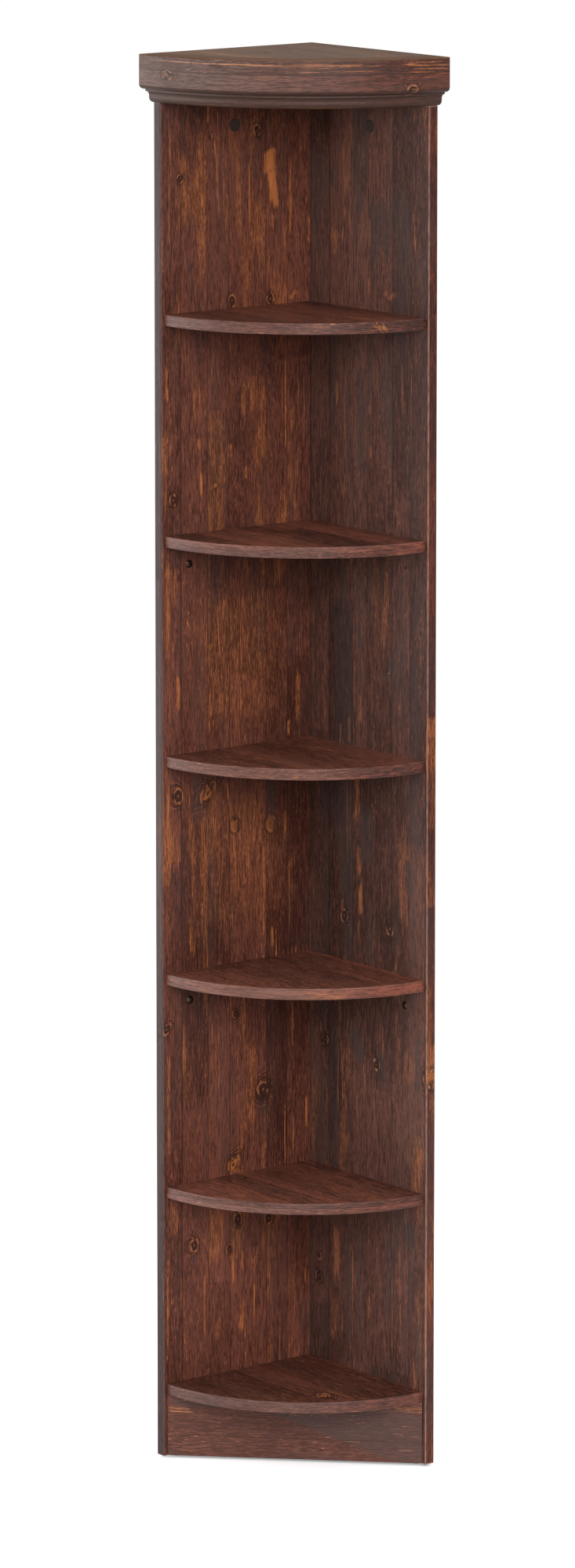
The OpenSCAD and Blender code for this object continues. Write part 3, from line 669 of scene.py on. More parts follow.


# %% [markdown]
# ## Each board's own finish
# The two panels carry the marks that the eye finds first: a rubbed lens high on the back panel,
# pale-ringed knots half way up, and long amber lines beside them. They could be painted on, but
# then they would be lost with the next change of size. Here each is one short row, chosen and
# rounded: how far across and along its board, its half width and half length, its strength, and
# where it isn't upright its lean. A knot has a place, a radius and perhaps a lean, and a rubbed row
# over a knot turns its heart from black to amber. All lengths in these rows are in millimetres.

# %% Knots and streaks of the back panel
BACK_KNOTS = [
    (-103, 2006, 5), (-45, 2068, 3), (46, 2072, 6), (-3, 1812, 6), (72, 1810, 6), (-36, 1526, 3),
    (-118, 1512, 6), (-47, 1277, 4), (-109, 1050, 8, -0.1), (-52, 1048, 10, 0.5), (72, 985, 8),
    (137, 999, 4), (-132, 685, 6, 0.4), (56, 563, 9, 0.1), (-2, 450, 9, 0.3), (-80, 333, 7), (-11, 316, 5),
    (6, 362, 7), (67, 353, 6),
]
BACK_RUBBED = [
    (10, 1255, 130, 150, 0.6), (10, 930, 130, 150, 0.55), (71, 2022, 17, 24, 1.3),
    (78, 1980, 12, 40, 1.3, -0.15), (75, 1925, 8, 25, 0.6), (75, 1860, 16, 40, 0.5), (31, 1980, 2.5, 75, 1),
    (28, 1853, 2.2, 36, 0.9), (111, 1964, 3.5, 75, 0.9), (147, 1910, 3, 30, 0.8),
    (-33, 2003, 3, 85, 0.9, -0.09), (-21, 2025, 3, 60, 0.7), (-12, 1900, 12, 45, 0.5),
    (-122, 2053, 3, 55, 0.8, -0.07), (-104, 2040, 8, 18, 0.6), (118, 1815, 14, 5, 0.9),
    (-130, 1690, 4, 40, 0.9), (-130, 1560, 3, 80, 0.6), (19, 1660, 7, 42, 0.8), (-36, 1526, 4, 5, 1),
    (-8, 1581, 6, 14, 0.8), (23, 1539, 4, 17, 0.9), (-67, 1600, 9, 14, 0.8), (-63, 1535, 5, 24, 1),
    (101, 1646, 1.8, 100, 1), (95, 1660, 3, 45, 0.7), (114, 1623, 8, 22, 0.7), (126, 1656, 2.5, 37, 0.9),
    (-129, 1340, 5, 110, 0.9), (-109, 1210, 5, 42, 1), (-30, 1300, 1.6, 62, 1, -0.05),
    (-16, 1320, 7, 45, 0.6), (106, 1322, 1.8, 30, 0.9), (126, 1180, 8, 55, 0.8), (108, 1137, 4, 18, 0.9),
    (9, 1171, 2.5, 50, 0.7), (-129, 1000, 4, 90, 0.9), (-52, 1044, 9, 12, 1, 0.5), (-80, 924, 4, 45, 0.6),
    (-84, 830, 8, 40, 0.7, -0.1), (-10, 1020, 2, 60, 1, -0.1), (1, 940, 1.8, 90, 1, -0.06),
    (19, 1000, 12, 60, 0.6), (27, 945, 5, 40, 0.8), (101, 985, 5, 25, 0.8), (58, 880, 2, 110, 0.9),
    (75, 805, 5, 22, 0.9), (110, 900, 9, 45, 0.6), (-129, 560, 5, 120, 0.8), (-44, 640, 2, 90, 0.8),
    (-32, 620, 1.8, 80, 0.8), (115, 655, 3, 45, 1), (143, 515, 4, 35, 1), (117, 480, 3, 40, 0.8),
    (64, 500, 2, 50, 0.8, 0.06), (-2, 450, 10, 13, 1, 0.3), (-3, 300, 3, 50, 1), (-60, 230, 2, 80, 0.9),
    (14, 293, 7, 22, 0.7), (14, 200, 7, 35, 0.8), (38, 215, 3, 55, 0.8), (-33, 196, 9, 28, 0.6),
    (142, 257, 2.5, 18, 1), (-104, 260, 7, 45, 0.6), (-131, 250, 4, 110, 0.7),
]
BACK_SETTLED = [
    (-83, 1857, 4, 35, 0.8, -0.2), (46, 2070, 12, 20, 0.7), (-104, 1300, 5, 90, 0.6),
    (137, 1350, 3, 120, 0.7), (-72, 1040, 12, 45, 0.8), (72, 1020, 14, 55, 0.8), (-104, 930, 4, 70, 0.8),
    (56, 535, 10, 24, 0.8), (-18, 475, 12, 26, 0.7), (-80, 312, 8, 12, 0.8), (137, 185, 12, 35, 0.7),
    (6, 350, 12, 14, 0.7),
]
print("back panel:", len(BACK_KNOTS), "knots and", len(BACK_RUBBED) + len(BACK_SETTLED), "streaks")

# %% Knots and streaks of the side panel
SIDE_KNOTS = [
    (-144, 618, 9), (62, 842, 7), (-50, 840, 7), (110, 636, 6), (-18, 619, 6, 0.2), (-45, 1245, 3),
    (126, 252, 6, 0.2), (124, 284, 4),
]
SIDE_RUBBED = [
    (-141, 645, 3, 45, 0.9), (-141, 1167, 3, 25, 0.8), (88, 1893, 11, 26, 0.8), (69, 1910, 4, 14, 0.9),
    (62, 1937, 1.8, 15, 1), (51, 1930, 4, 20, 0.7), (3, 1915, 6, 38, 0.9), (5, 1855, 7, 34, 0.7),
    (-30, 1880, 2.5, 18, 0.8), (-78, 1865, 2.5, 16, 0.7), (-106, 1930, 2, 50, 0.8, 0.1),
    (-47, 1825, 22, 5, 0.8), (76, 1715, 14, 34, 0.6), (82, 1660, 6, 24, 0.9), (64, 1630, 2.5, 44, 0.9),
    (84, 1565, 14, 40, 0.5), (68, 1520, 6, 18, 0.8), (0, 1588, 5, 10, 0.8), (2, 1648, 3, 11, 0.9),
    (1, 1498, 3, 26, 0.8), (-78, 1690, 2.5, 50, 0.8), (-62, 1640, 1.6, 46, 0.6), (24, 1173, 9, 34, 0.8),
    (51, 1138, 6, 24, 0.8), (73, 1129, 3, 20, 0.9), (-73, 1183, 5, 12, 0.8), (-6, 1202, 2, 45, 0.7),
    (-53, 1344, 4, 25, 0.5), (116, 1197, 3, 40, 0.7), (31, 1049, 9, 75, 0.8), (55, 996, 3, 80, 0.8),
    (26, 933, 9, 32, 0.8), (22, 872, 8, 28, 1), (67, 858, 3, 18, 1), (78, 600, 2.5, 100, 0.8),
    (66, 560, 1.8, 110, 0.8), (55, 610, 1.8, 60, 0.7), (-12, 560, 1.6, 90, 0.6), (81, 297, 12, 60, 0.9),
    (88, 194, 12, 50, 0.7), (41, 240, 2.2, 110, 0.8), (-57, 240, 2, 100, 0.8), (-77, 270, 2, 70, 0.8),
    (0, 228, 6, 26, 0.7), (67, 189, 3, 24, 0.9),
]
SIDE_SETTLED = [
    (96, 1997, 9, 20, 0.8), (26, 1966, 14, 24, 0.8), (35, 1925, 6, 26, 0.6), (-80, 1955, 14, 50, 0.6),
    (55, 1615, 4, 110, 0.8), (22, 1618, 12, 110, 0.7), (-45, 1718, 7, 45, 0.7), (26, 1290, 9, 22, 0.9, 0.4),
    (26, 1350, 9, 40, 0.5), (-52, 1250, 12, 22, 0.9, -0.5), (-84, 1220, 7, 90, 0.6),
    (-112, 1340, 5, 40, 0.7), (8, 980, 20, 60, 0.7), (-100, 922, 9, 34, 0.9), (66, 905, 8, 24, 0.8),
    (55, 815, 9, 34, 0.8), (-64, 830, 6, 40, 0.7), (30, 645, 18, 34, 0.9, 0.3), (-28, 615, 14, 26, 0.9),
    (-118, 640, 8, 60, 0.8), (92, 600, 6, 90, 0.7), (52, 250, 8, 120, 0.7), (24, 250, 8, 120, 0.6),
    (-100, 362, 18, 24, 0.9), (-120, 192, 8, 60, 0.8), (-50, 290, 14, 90, 0.5),
]
print("side panel:", len(SIDE_KNOTS), "knots and", len(SIDE_RUBBED) + len(SIDE_SETTLED), "streaks")

# %% Pine for the two panels
# The back panel's front edge faces -X and takes darker, greyer browns: painted shade with a painted grey
# sheen.
back_pine = pine("back_pine", turned=lie(X, Y, Z), box=box_of(back_low, back_high), seed=2.0, stave=0.054,
                 knots=BACK_KNOTS, rubbed=BACK_RUBBED, settled=BACK_SETTLED, strewn=0.03,
                 faced=[(-X, 0.1, 0.85, LEFT_EDGE_SHADE_AND_SHEEN)])
side_low, side_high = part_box("side_panel")
side_box = box_of(Vector((side_low.y, -side_high.x, side_low.z)), Vector((OUTER, -side_low.x, side_high.z)))
# The side panel's front edge faces -Y and takes darker, redder browns, which are painted shade, with a
# painted highlight on its arrises.
side_pine = pine("side_pine", turned=lie(Y, -X, Z), box=side_box, seed=5.0, stave=0.048, cool=0.6,
                 knots=SIDE_KNOTS, rubbed=SIDE_RUBBED, settled=SIDE_SETTLED, strewn=0.0, browns=SIDE,
                 amber=-0.035, faced=[(-Y, 0.1, 0.85, SIDE_EDGE_SHADE_AND_HIGHLIGHT)])
print("panel finishes:", back_pine.name, side_pine.name)

# %% Pine for the shelves, the plinth and the crown
CROWN_KNOTS = [(2172, 463, 6), (2154, 67, 6)]
CROWN_RUBBED = [
    (2172, 463, 4, 5, 0.45), (2152, 67, 5, 6, 0.45), (2194, 200, 2, 80, 0.9), (2189, 230, 1.4, 60, 0.8),
    (2183, 190, 1.6, 90, 0.9), (2178, 260, 1.4, 50, 0.6), (2190, 40, 2, 60, 1, 0.05),
    (2184, 35, 1.6, 50, 0.9, 0.05), (2179, 40, 2, 45, 0.9, 0.05), (2195, 50, 2, 40, 0.8),
    (2172, 60, 1.6, 40, 0.6),
]
# The first row is painted shade: a dark band along the cove and the quarter round below the nose. The other
# rows are dark stain about the two knots.
CROWN_SETTLED_AND_SHADE = [
    (2138, 263, 18, 560, 0.85), (2176, 455, 22, 30, 0.5), (2165, 40, 7, 40, 0.6), (2158, 100, 5, 30, 0.6),
]
PLINTH_RUBBED = [
    (30, 60, 34, 150, 0.2, 0.3), (82, 185, 3, 24, 0.8), (76, 180, 2, 26, 0.8), (64, -180, 2, 18, 0.8),
    (25, -175, 2, 18, 0.7),
]
# Painted shadow: the dark band at the top and the slanted rows paint the shadow that the lowest shelf's
# curved front casts on the plinth.
PLINTH_PAINTED_SHADOW = [(92, 140, 10, 70, 0.7)]
PLINTH_PAINTED_SHADOW += [(35 + 12 * row, -100, 10, 230, 0.75, 0.37) for row in range(7)]


# A shelf front's end that faces -Y takes darker, redder browns: painted shade.
def shelf_finish(name, browns=SHELF, **marks):
    """The finish of a shelf. Its staves follow from its height, so shelves of one finish differ."""
    return pine(name, turned=lie(X, -Z, Y), front_curve=(SHELF_CORNER, SHELF_R), seed=8.0, browns=browns,
                amber=-0.12, strewn=0.03, gloss=0.25, faced=[(-Y, 0.7, 1.0, RIGHT_EDGE_SHADE)], **marks)


def single_board(name, stave=0.2, **choices):
    """A finish without glue lines, for a part that is cut from one length."""
    return pine(name, stave=stave, length=2.0, strewn=0.0, **choices)


shelf_pine = shelf_finish("shelf_pine")
top_shelf_pine = shelf_finish("top_shelf_pine", knots=[(1791, 78, 6, 1.2)],
                              rubbed=[(1791, 79, 5, 12, 0.85, 0.3)])
low_shelf_pine = shelf_finish("low_shelf_pine", LOW_SHELF, knots=[(16, -54, 9, 0.2)], rubbed=[
    (16, -54, 9, 10, 1, 0.2), (40, -60, 3, 60, 0.7), (-20, -20, 2, 80, 0.6)])
SHELF_PINES = {"shelf_1": top_shelf_pine, "shelf_6": low_shelf_pine}
across_corner, along_plinth = Vector((1, 1, 0)).normalized(), Vector((-1, 1, 0)).normalized()
plinth_pine = single_board("plinth_pine", turned=lie(Z, across_corner, along_plinth), seed=11.0, stave=0.24,
                           browns=PLINTH, amber=-0.02, rubbed=PLINTH_RUBBED, settled=PLINTH_PAINTED_SHADOW)
# The crown's face takes darker, redder browns where it turns to -Y, and its downward faces take darker ones:
# both are painted shade.
crown_pine = single_board(
    "crown_pine", curve=(CROWN_CORNER, CROWN_R), seed=14.0, browns=CROWN_STAIN_AND_SHEEN, gloss=0.2, amber=0.02,
    knots=CROWN_KNOTS, rubbed=CROWN_RUBBED, settled=CROWN_SETTLED_AND_SHADE,
    faced=[(-Y, 0.45, 0.95, CROWN_RIGHT_SHADE), (UP, 0.1, 0.85, LID), (DOWN, 0.0, 0.45, RECESS_SHADE)],
)
board_pine = pine("crown_board_pine", turned=lie(X, -Z, Y), seed=17.0, browns=LID, gloss=0.02)
back_rail_pine = single_board("back_rail_pine", turned=lie(Z, -Y, X), seed=20.0)
side_rail_pine = single_board("side_rail_pine", turned=lie(Z, X, Y), seed=23.0)
print("shelf finishes:", shelf_pine.name, top_shelf_pine.name, low_shelf_pine.name)

# %% [markdown]
# ## Bringing shapes to a finished mesh
# Everything below is made in one of two ways. Node trees make what follows a rule, and short mesh
# code makes the section that a rule starts from. Either way the piece ends as a plain mesh: merged,
# with its faces pointing outwards, smooth on its curves and crisp where two faces meet at an edge.
# Weighted normals keep the large flats level right up to a rounded arris, as on real joinery.

# %% Helpers that end with a plain mesh
CRISP = radians(32)
MERGE = 0.001 * MM
TO_CM3 = 1e6


def linked(name, data):
    made = bpy.data.objects.new(name, data)
    bpy.context.scene.collection.objects.link(made)
    return made


def mesh_of(shape, name):
    """A bmesh as a mesh. The bmesh is freed."""
    mesh = bpy.data.meshes.new(name)
    shape.to_mesh(mesh)
    shape.free()
    return mesh


def settled_mesh(obj):
    """The mesh of an object with its modifiers worked in. The object itself is removed."""
    graph = bpy.context.evaluated_depsgraph_get()
    worked = obj.evaluated_get(graph)
    mesh = bpy.data.meshes.new_from_object(worked, preserve_all_data_layers=True, depsgraph=graph)
    bpy.data.objects.remove(obj)
    return mesh


def outward(mesh):
    """Merges doubles and turns the faces of a closed mesh outwards."""
    shape = bmesh.new()
    shape.from_mesh(mesh)
    bmesh.ops.remove_doubles(shape, verts=shape.verts, dist=MERGE)
    bmesh.ops.dissolve_degenerate(shape, edges=shape.edges, dist=MERGE)
    bmesh.ops.recalc_face_normals(shape, faces=shape.faces)
    shape.to_mesh(mesh)
    shape.free()
    return mesh


def finish_piece(name, mesh, nodes):
    """Makes the mesh a finished piece that stands for these nodes."""
    mesh.shade_smooth()
    mesh.set_sharp_from_angle(angle=CRISP)
    draft = linked("draft", mesh)
    weight = draft.modifiers.new("even", "WEIGHTED_NORMAL")
    weight.keep_sharp = True
    piece = linked(name, settled_mesh(draft))
    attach(piece, "root")
    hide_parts(*nodes)
    shape = bmesh.new()
    shape.from_mesh(piece.data)
    open_edges = sum(1 for edge in shape.edges if not edge.is_manifold)
    volume = shape.calc_volume(signed=True) * TO_CM3
    shape.free()
    print(f"{name}: {len(piece.data.polygons)} faces, {open_edges} open edges, {volume:.1f} cm3")
    return piece


def new_shape_tree(name, takes):
    """Starts a Geometry Nodes tree that takes a shape and these, and hands out a shape."""
    shape = {"Geometry": "shape"}
    return new_group(name, {**shape, **takes}, shape, "GeometryNodeTree")


def give_finish(w, enter, leave, geometry):
    """Ends a shape tree: its geometry gets the finish and is handed out."""
    takes = {"Geometry": geometry, "Material": enter["Finish"]}
    w.feed(leave["Geometry"], w.node("GeometryNodeSetMaterial", takes).outputs["Geometry"])
    return w.done()


def grow(start, tree, **takes):
    """Runs a tree on a start mesh. Spaces in an input's name are written as _ here."""
    carrier = linked("carrier", start)
    modifier = carrier.modifiers.new("grow", "NODES")
    modifier.node_group = tree
    for item in tree.interface.items_tree:
        if item.in_out == "INPUT" and item.name.replace(" ", "_") in takes:
            modifier[item.identifier] = takes[item.name.replace(" ", "_")]
    return settled_mesh(carrier)


# %% [markdown]
# ## Finding the fittings
# A node of the frame can hold many loose solids, such as the 24 shelf cams. Their places are not
# typed in again: the node is split into its islands, and the box of each says where a fitting
# sits, how long it is, and which way it points.

# %% Helpers: the box of each solid of a node, and bores that fit a box
def middle_of(box):
    return (box[0] + box[1]) / 2


def on_face(box, axis, face):
    """The middle of a box moved onto a face across X or Y (axis 0 or 1), and the way against that axis."""
    place, way = middle_of(box), Vector()
    place[axis] = face
    way[axis] = -1
    return place, way


def level_bore(box, axis, mouth, radius, gap):
    """A bore against X or Y (axis 0 or 1), from its mouth to just beyond a fitting."""
    return *on_face(box, axis, mouth), radius, mouth - box[0][axis] + gap


def upright_bore(box, mouth, radius, gap):
    """A bore from its mouth upwards to just above a fitting."""
    middle = middle_of(box)
    return (middle.x, middle.y, mouth), (0, 0, 1), radius, box[1].z - mouth + gap


def solids(node):
    shape = bmesh.new()
    shape.from_mesh(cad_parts[node].data)
    bmesh.ops.remove_doubles(shape, verts=shape.verts, dist=MERGE)
    waiting = set(shape.verts)
    boxes = []
    while waiting:
        island = [waiting.pop()]
        for vert in island:
            for edge in vert.link_edges:
                other = edge.other_vert(vert)
                if other in waiting:
                    waiting.remove(other)
                    island.append(other)
        low = Vector([min(vert.co[axis] for vert in island) for axis in range(3)])
        high = Vector([max(vert.co[axis] for vert in island) for axis in range(3)])
        boxes.append((low, high))
    shape.free()
    return sorted(boxes, key=lambda box: [round(value, 4) for value in box[0].zxy])


cams, bolts, dowels = solids("shelf_cams"), solids("shelf_bolts"), solids("shelf_dowels")
print(len(cams), "shelf cams,", len(bolts), "shelf bolts,", len(dowels), "shelf dowels")

# %% [markdown]
# ## Tree: a quarter turn
# The shelves, the crown moulding and the crown's boards share one rule: a section goes a quarter
# turn round a corner. Curve to Mesh could follow an arc at once, but its first and last ring would
# lean half a step, and the two ends have to lie flat on the panels. So the section runs straight
# along a line first, and Set Position wraps that line round the corner afterwards.

# %% Build the quarter turn tree
w, enter, leave = new_shape_tree("quarter turn", {"Corner": "vector", "Rings": "count", "Finish": "finish"})
section = w.node("GeometryNodeMeshToCurve", {"Mesh": enter["Geometry"]}).outputs["Curve"]
line = w.node("GeometryNodeCurvePrimitiveLine", {"Start": (0, 0, 0), "End": (0, 1, 0)}).outputs["Curve"]
line = w.node("GeometryNodeResampleCurve", {"Curve": line, "Count": enter["Rings"]}).outputs["Curve"]
takes = {"Curve": line, "Profile Curve": section, "Fill Caps": True}
swept = w.node("GeometryNodeCurveToMesh", takes).outputs["Mesh"]
out, along, up = w.parts(w.node("GeometryNodeInputPosition").outputs["Position"])
angle = w.times(along, pi / 2)
wrapped = w.join(w.times(out, w.sum("COSINE", angle), -1), w.times(out, w.sum("SINE", angle), -1), up)
place = w.vector("ADD", wrapped, enter["Corner"])
turned = w.node("GeometryNodeSetPosition", {"Geometry": swept, "Position": place}).outputs["Geometry"]
turned = w.node("GeometryNodeMergeByDistance", {"Geometry": turned, "Distance": MERGE}).outputs["Geometry"]
quarter_turn = give_finish(w, enter, leave, turned)
RINGS = 65


def outline_mesh(points):
    """A closed outline of (out, up) points as a mesh of edges. The sweep turns -Y upwards."""
    mesh = bpy.data.meshes.new("outline")
    count = len(points)
    mesh.from_pydata([(out, -up, 0) for out, up in points], [(i, (i + 1) % count) for i in range(count)], [])
    return mesh


def turned_board(points, corner, material):
    return outward(grow(outline_mesh(points), quarter_turn, Corner=corner, Rings=RINGS, Finish=material))


def arc(centre, radius_x, radius_y, start, end, steps):
    """Points along a part of an ellipse, from one angle to another, in degrees."""
    angles = [radians(start + (end - start) * step / steps) for step in range(steps + 1)]
    return [(centre[0] + radius_x * cos(angle), centre[1] + radius_y * sin(angle)) for angle in angles]


# %% [markdown]
# ## Tree: boring
# A board is bored by taking plain round cutters away from it. The boolean sits in a tree of its
# own, so that every board is bored by the same rule. The cutters of one board may cross, as the
# bolt's bore does the cam's, and the solver has to be told so. The cutters are removed afterwards.
# The same tree later takes the slots out of the cams and the sockets out of the screws.

# %% Build the boring tree
w, enter, leave = new_shape_tree("bore", {"Cutters": "object", "Finish": "finish"})
cutters = w.node("GeometryNodeObjectInfo", {"Object": enter["Cutters"]}, transform_space="RELATIVE").outputs
takes = {"Mesh 1": enter["Geometry"], "Mesh 2": cutters["Geometry"], "Self Intersection": True}
cut = w.node("GeometryNodeMeshBoolean", takes, operation="DIFFERENCE", solver="EXACT").outputs["Mesh"]
bore_tree = give_finish(w, enter, leave, cut)
RUN_OUT = 1 * MM
BORE_STEPS = 40
CAM_BORE_R = 7.5 * MM
BOLT_BORE_R = 4 * MM
CROWN_BOLT_BORE_R = 3.1 * MM
DOWEL_BORE_R = 4.1 * MM
LEAST_DOWEL_W = 7.8 * MM
END_GAP, CAM_GAP = 0.5 * MM, 0.1 * MM


def without(mesh, cutters, material):
    """Takes a bmesh of closed cutters away from a mesh."""
    cutter = linked("cutters", mesh_of(cutters, "cutters"))
    result = grow(mesh, bore_tree, Cutters=cutter, Finish=material)
    bpy.data.objects.remove(cutter)
    return outward(result)


def bored(mesh, bores, material):
    """Takes bores out of a board. A bore is its mouth, the way it goes in, its radius and its depth."""
    drills = bmesh.new()
    for mouth, way, radius, depth in bores:
        turn = Vector(way).to_track_quat("Z", "Y").to_matrix().to_4x4()
        middle = Matrix.Translation(Vector(mouth) + Vector(way) * (depth - RUN_OUT) / 2)
        bmesh.ops.create_cone(drills, cap_ends=True, segments=BORE_STEPS, radius1=radius, radius2=radius,
                              depth=depth + RUN_OUT, matrix=middle @ turn)
    return without(mesh, drills, material)


# %% [markdown]
# ## The shelves
# A shelf is a quarter disc with both arrises of its curve rounded, held from the two straight
# edges: bolts go into the panels there, and cams that are let into the underside draw the bolts
# in, with a dowel beside each. All of these bores are placed by the fittings of the frame.

# %% Make the six shelves
SHELF_ROUND = 2 * MM
ROUND_STEPS = 6


def shelf_bores(low, high):
    """The bores of the shelf between these heights."""
    bores = [upright_bore(cam, low, CAM_BORE_R, CAM_GAP) for cam in cams if low < cam[0].z < high]
    for boxes, radius, gap in ((bolts, BOLT_BORE_R, 0), (dowels, DOWEL_BORE_R, END_GAP)):
        for box in boxes:
            if low < middle_of(box).z < high:
                axis = 1 if box[1].y > INNER + MM else 0
                bores.append(level_bore(box, axis, INNER, radius, gap))
    return bores


def quarter_disc(radius, low, high, rounding):
    edge = arc((radius - rounding, low + rounding), rounding, rounding, -90, 0, ROUND_STEPS)
    edge += arc((radius - rounding, high - rounding), rounding, rounding, 0, 90, ROUND_STEPS)
    return [(0, low)] + edge + [(0, high)]


for node in SHELF_NODES:
    low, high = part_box(node)
    material = SHELF_PINES.get(node, shelf_pine)
    blank = turned_board(quarter_disc(SHELF_R, low.z, high.z, SHELF_ROUND), SHELF_CORNER, material)
    bores = shelf_bores(low.z, high.z)
    if node == SHELF_NODES[-1]:
        bores += [upright_bore(pin, low.z, DOWEL_BORE_R, END_GAP) for pin in solids("plinth_dowels")]
    finish_piece(f"{node}_board", bored(blank, bores, material), [node])

# %% [markdown]
# ## The crown moulding
# This is the piece that takes the most skill: one curved bar, milled to a classical section. From
# the foot up it has a quarter round, a flat, a cove, a thin upright fillet, a rounded nose and the
# tall plain face. Each round is an arc, so the section stays true at any fineness. Rebates behind
# the foot and the top hold the two crown boards.

# %% Make the crown moulding
MOULDING_W = 58 * MM
REBATE_W = 10 * MM
NOSE_W, NOSE_H = 11 * MM, 7.7 * MM
FILLET_STEP, FILLET_H = 1 * MM, 3.3 * MM
COVE_R, QUIRK_H, OVOLO_R = 7 * MM, 2 * MM, 9 * MM
TOP_ROUND = 2 * MM
MOULD_STEPS = 14
crown_h = CROWN_TOP - CROWN_FOOT
rebate_r = CROWN_R - MOULDING_W + REBATE_W
foot_x = CROWN_R - NOSE_W - FILLET_STEP - COVE_R - OVOLO_R
cove_x, cove_y = foot_x + OVOLO_R + COVE_R, OVOLO_R + QUIRK_H
fillet_y = cove_y + COVE_R
nose_x, nose_y = CROWN_R - NOSE_W, fillet_y + FILLET_H + NOSE_H
section = [(CROWN_R - MOULDING_W, BOARD), (rebate_r, BOARD), (rebate_r, 0)]
section += arc((foot_x, OVOLO_R), OVOLO_R, OVOLO_R, -90, 0, MOULD_STEPS)
section += arc((cove_x, cove_y), COVE_R, COVE_R, 180, 90, MOULD_STEPS)
section += [(cove_x, fillet_y + FILLET_H)]
section += arc((nose_x, nose_y), NOSE_W, NOSE_H, -90, 0, MOULD_STEPS)
section += arc((CROWN_R - TOP_ROUND, crown_h - TOP_ROUND), TOP_ROUND, TOP_ROUND, 0, 90, ROUND_STEPS)
section += [(rebate_r, crown_h), (rebate_r, crown_h - BOARD), (CROWN_R - MOULDING_W, crown_h - BOARD)]
crown_corner = CROWN_CORNER + Vector((0, 0, CROWN_FOOT))
moulding = turned_board(section, crown_corner, crown_pine)
crown_dowels = solids("crown_dowels")
crown_middle = CROWN_FOOT + crown_h / 2
moulding_back = OUTER - (CROWN_R - MOULDING_W) - MM
moulding_bores = []
for dowel in crown_dowels:
    axis = 0 if dowel[0].x < moulding_back else 1
    if abs(middle_of(dowel).z - crown_middle) < MM and dowel[0][axis] < moulding_back:
        moulding_bores.append(level_bore(dowel, axis, dowel[1][axis], DOWEL_BORE_R, END_GAP))
moulding = bored(moulding, moulding_bores, crown_pine)
finish_piece("crown_moulding_bar", moulding, ["crown_moulding"])

# %% [markdown]
# ## The crown's two boards
# The top board closes the crown, and the base board is the ceiling that one sees from below. Both
# lie in the moulding's rebates with a hair of clearance, and the panels are doweled and bolted
# into the base board from underneath.

# %% Make the crown's top and base board
for node in ("crown_top_board", "crown_base_board"):
    low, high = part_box(node)
    board_r = OUTER - low.x
    outline = [(0, low.z), (board_r, low.z), (board_r, high.z), (0, high.z)]
    mesh = turned_board(outline, CROWN_CORNER, board_pine)
    if node == "crown_base_board":
        bores = []
        for box in crown_dowels + solids("crown_bolts"):
            if box[0].z < low.z < box[1].z:
                radius = DOWEL_BORE_R if box[1].x - box[0].x > LEAST_DOWEL_W else CROWN_BOLT_BORE_R
                bores.append(upright_bore(box, low.z, radius, END_GAP))
        mesh = bored(mesh, bores, board_pine)
    finish_piece(f"{node}_panel", mesh, [node])

# %% [markdown]
# ## Tree: setting fittings in place
# The fittings are turned parts: caps, cams, sleeves, screws and glides. One of each kind is made
# at the origin, upright. A tree then sets a copy on every point of a small point mesh, each turned
# by an attribute that its point carries. Instances are cheap while the tree runs, and are made
# real at its end, since an exported model can't hold them.

# %% Build the set in place tree
w, enter, leave = new_shape_tree("set in place", {"Fitting": "object", "Finish": "finish"})
takes = {"Object": enter["Fitting"], "As Instance": True}
fitting = w.node("GeometryNodeObjectInfo", takes).outputs["Geometry"]
carried = w.node("GeometryNodeInputNamedAttribute", {"Name": "turn"}, data_type="FLOAT_VECTOR").outputs
turn = w.node("FunctionNodeEulerToRotation", {"Euler": carried["Attribute"]}).outputs["Rotation"]
takes = {"Points": enter["Geometry"], "Instance": fitting, "Rotation": turn}
copies = w.node("GeometryNodeInstanceOnPoints", takes).outputs["Instances"]
real = w.node("GeometryNodeRealizeInstances", {"Geometry": copies}).outputs["Geometry"]
set_in_place = give_finish(w, enter, leave, real)
HIDDEN_STEPS, SHOWN_STEPS = 36, 48


def turned_part(outline, steps=HIDDEN_STEPS):
    """A closed solid turned from (radius, height) points that run up from the axis and back to it."""
    shape = bmesh.new()
    verts = [shape.verts.new((radius, 0, height)) for radius, height in outline]
    edges = [shape.edges.new(pair) for pair in zip(verts, verts[1:])]
    bmesh.ops.spin(shape, geom=verts + edges, cent=(0, 0, 0), axis=(0, 0, 1), angle=2 * pi, steps=steps)
    return outward(mesh_of(shape, "turned"))


def set_fittings(name, mesh, places, nodes, material):
    """Sets a copy of the fitting at each place: a point, and the way that its top faces."""
    fitting = linked("fitting", mesh)
    points = bpy.data.meshes.new("places")
    points.from_pydata([tuple(point) for point, way in places], [], [])
    turns = points.attributes.new("turn", "FLOAT_VECTOR", "POINT")
    for item, (point, way) in zip(turns.data, places):
        item.vector = Vector(way).to_track_quat("Z", "Y").to_euler()
    result = grow(points, set_in_place, Fitting=fitting, Finish=material)
    bpy.data.objects.remove(fitting)
    print(len(places), "copies of", name)
    return finish_piece(name, result, nodes)


# %% [markdown]
# ## Metal and plastic
# Zinc plating is a bright, slightly blue metal with a fine, cloudy bloom. The joining sleeves are
# plated too, but browned to go with the wood. The cover caps are moulded plastic in a dark taupe
# with a fine, even texture.

# %% Finishes of the fittings
FINE_RELIEF = 0.1 * MM


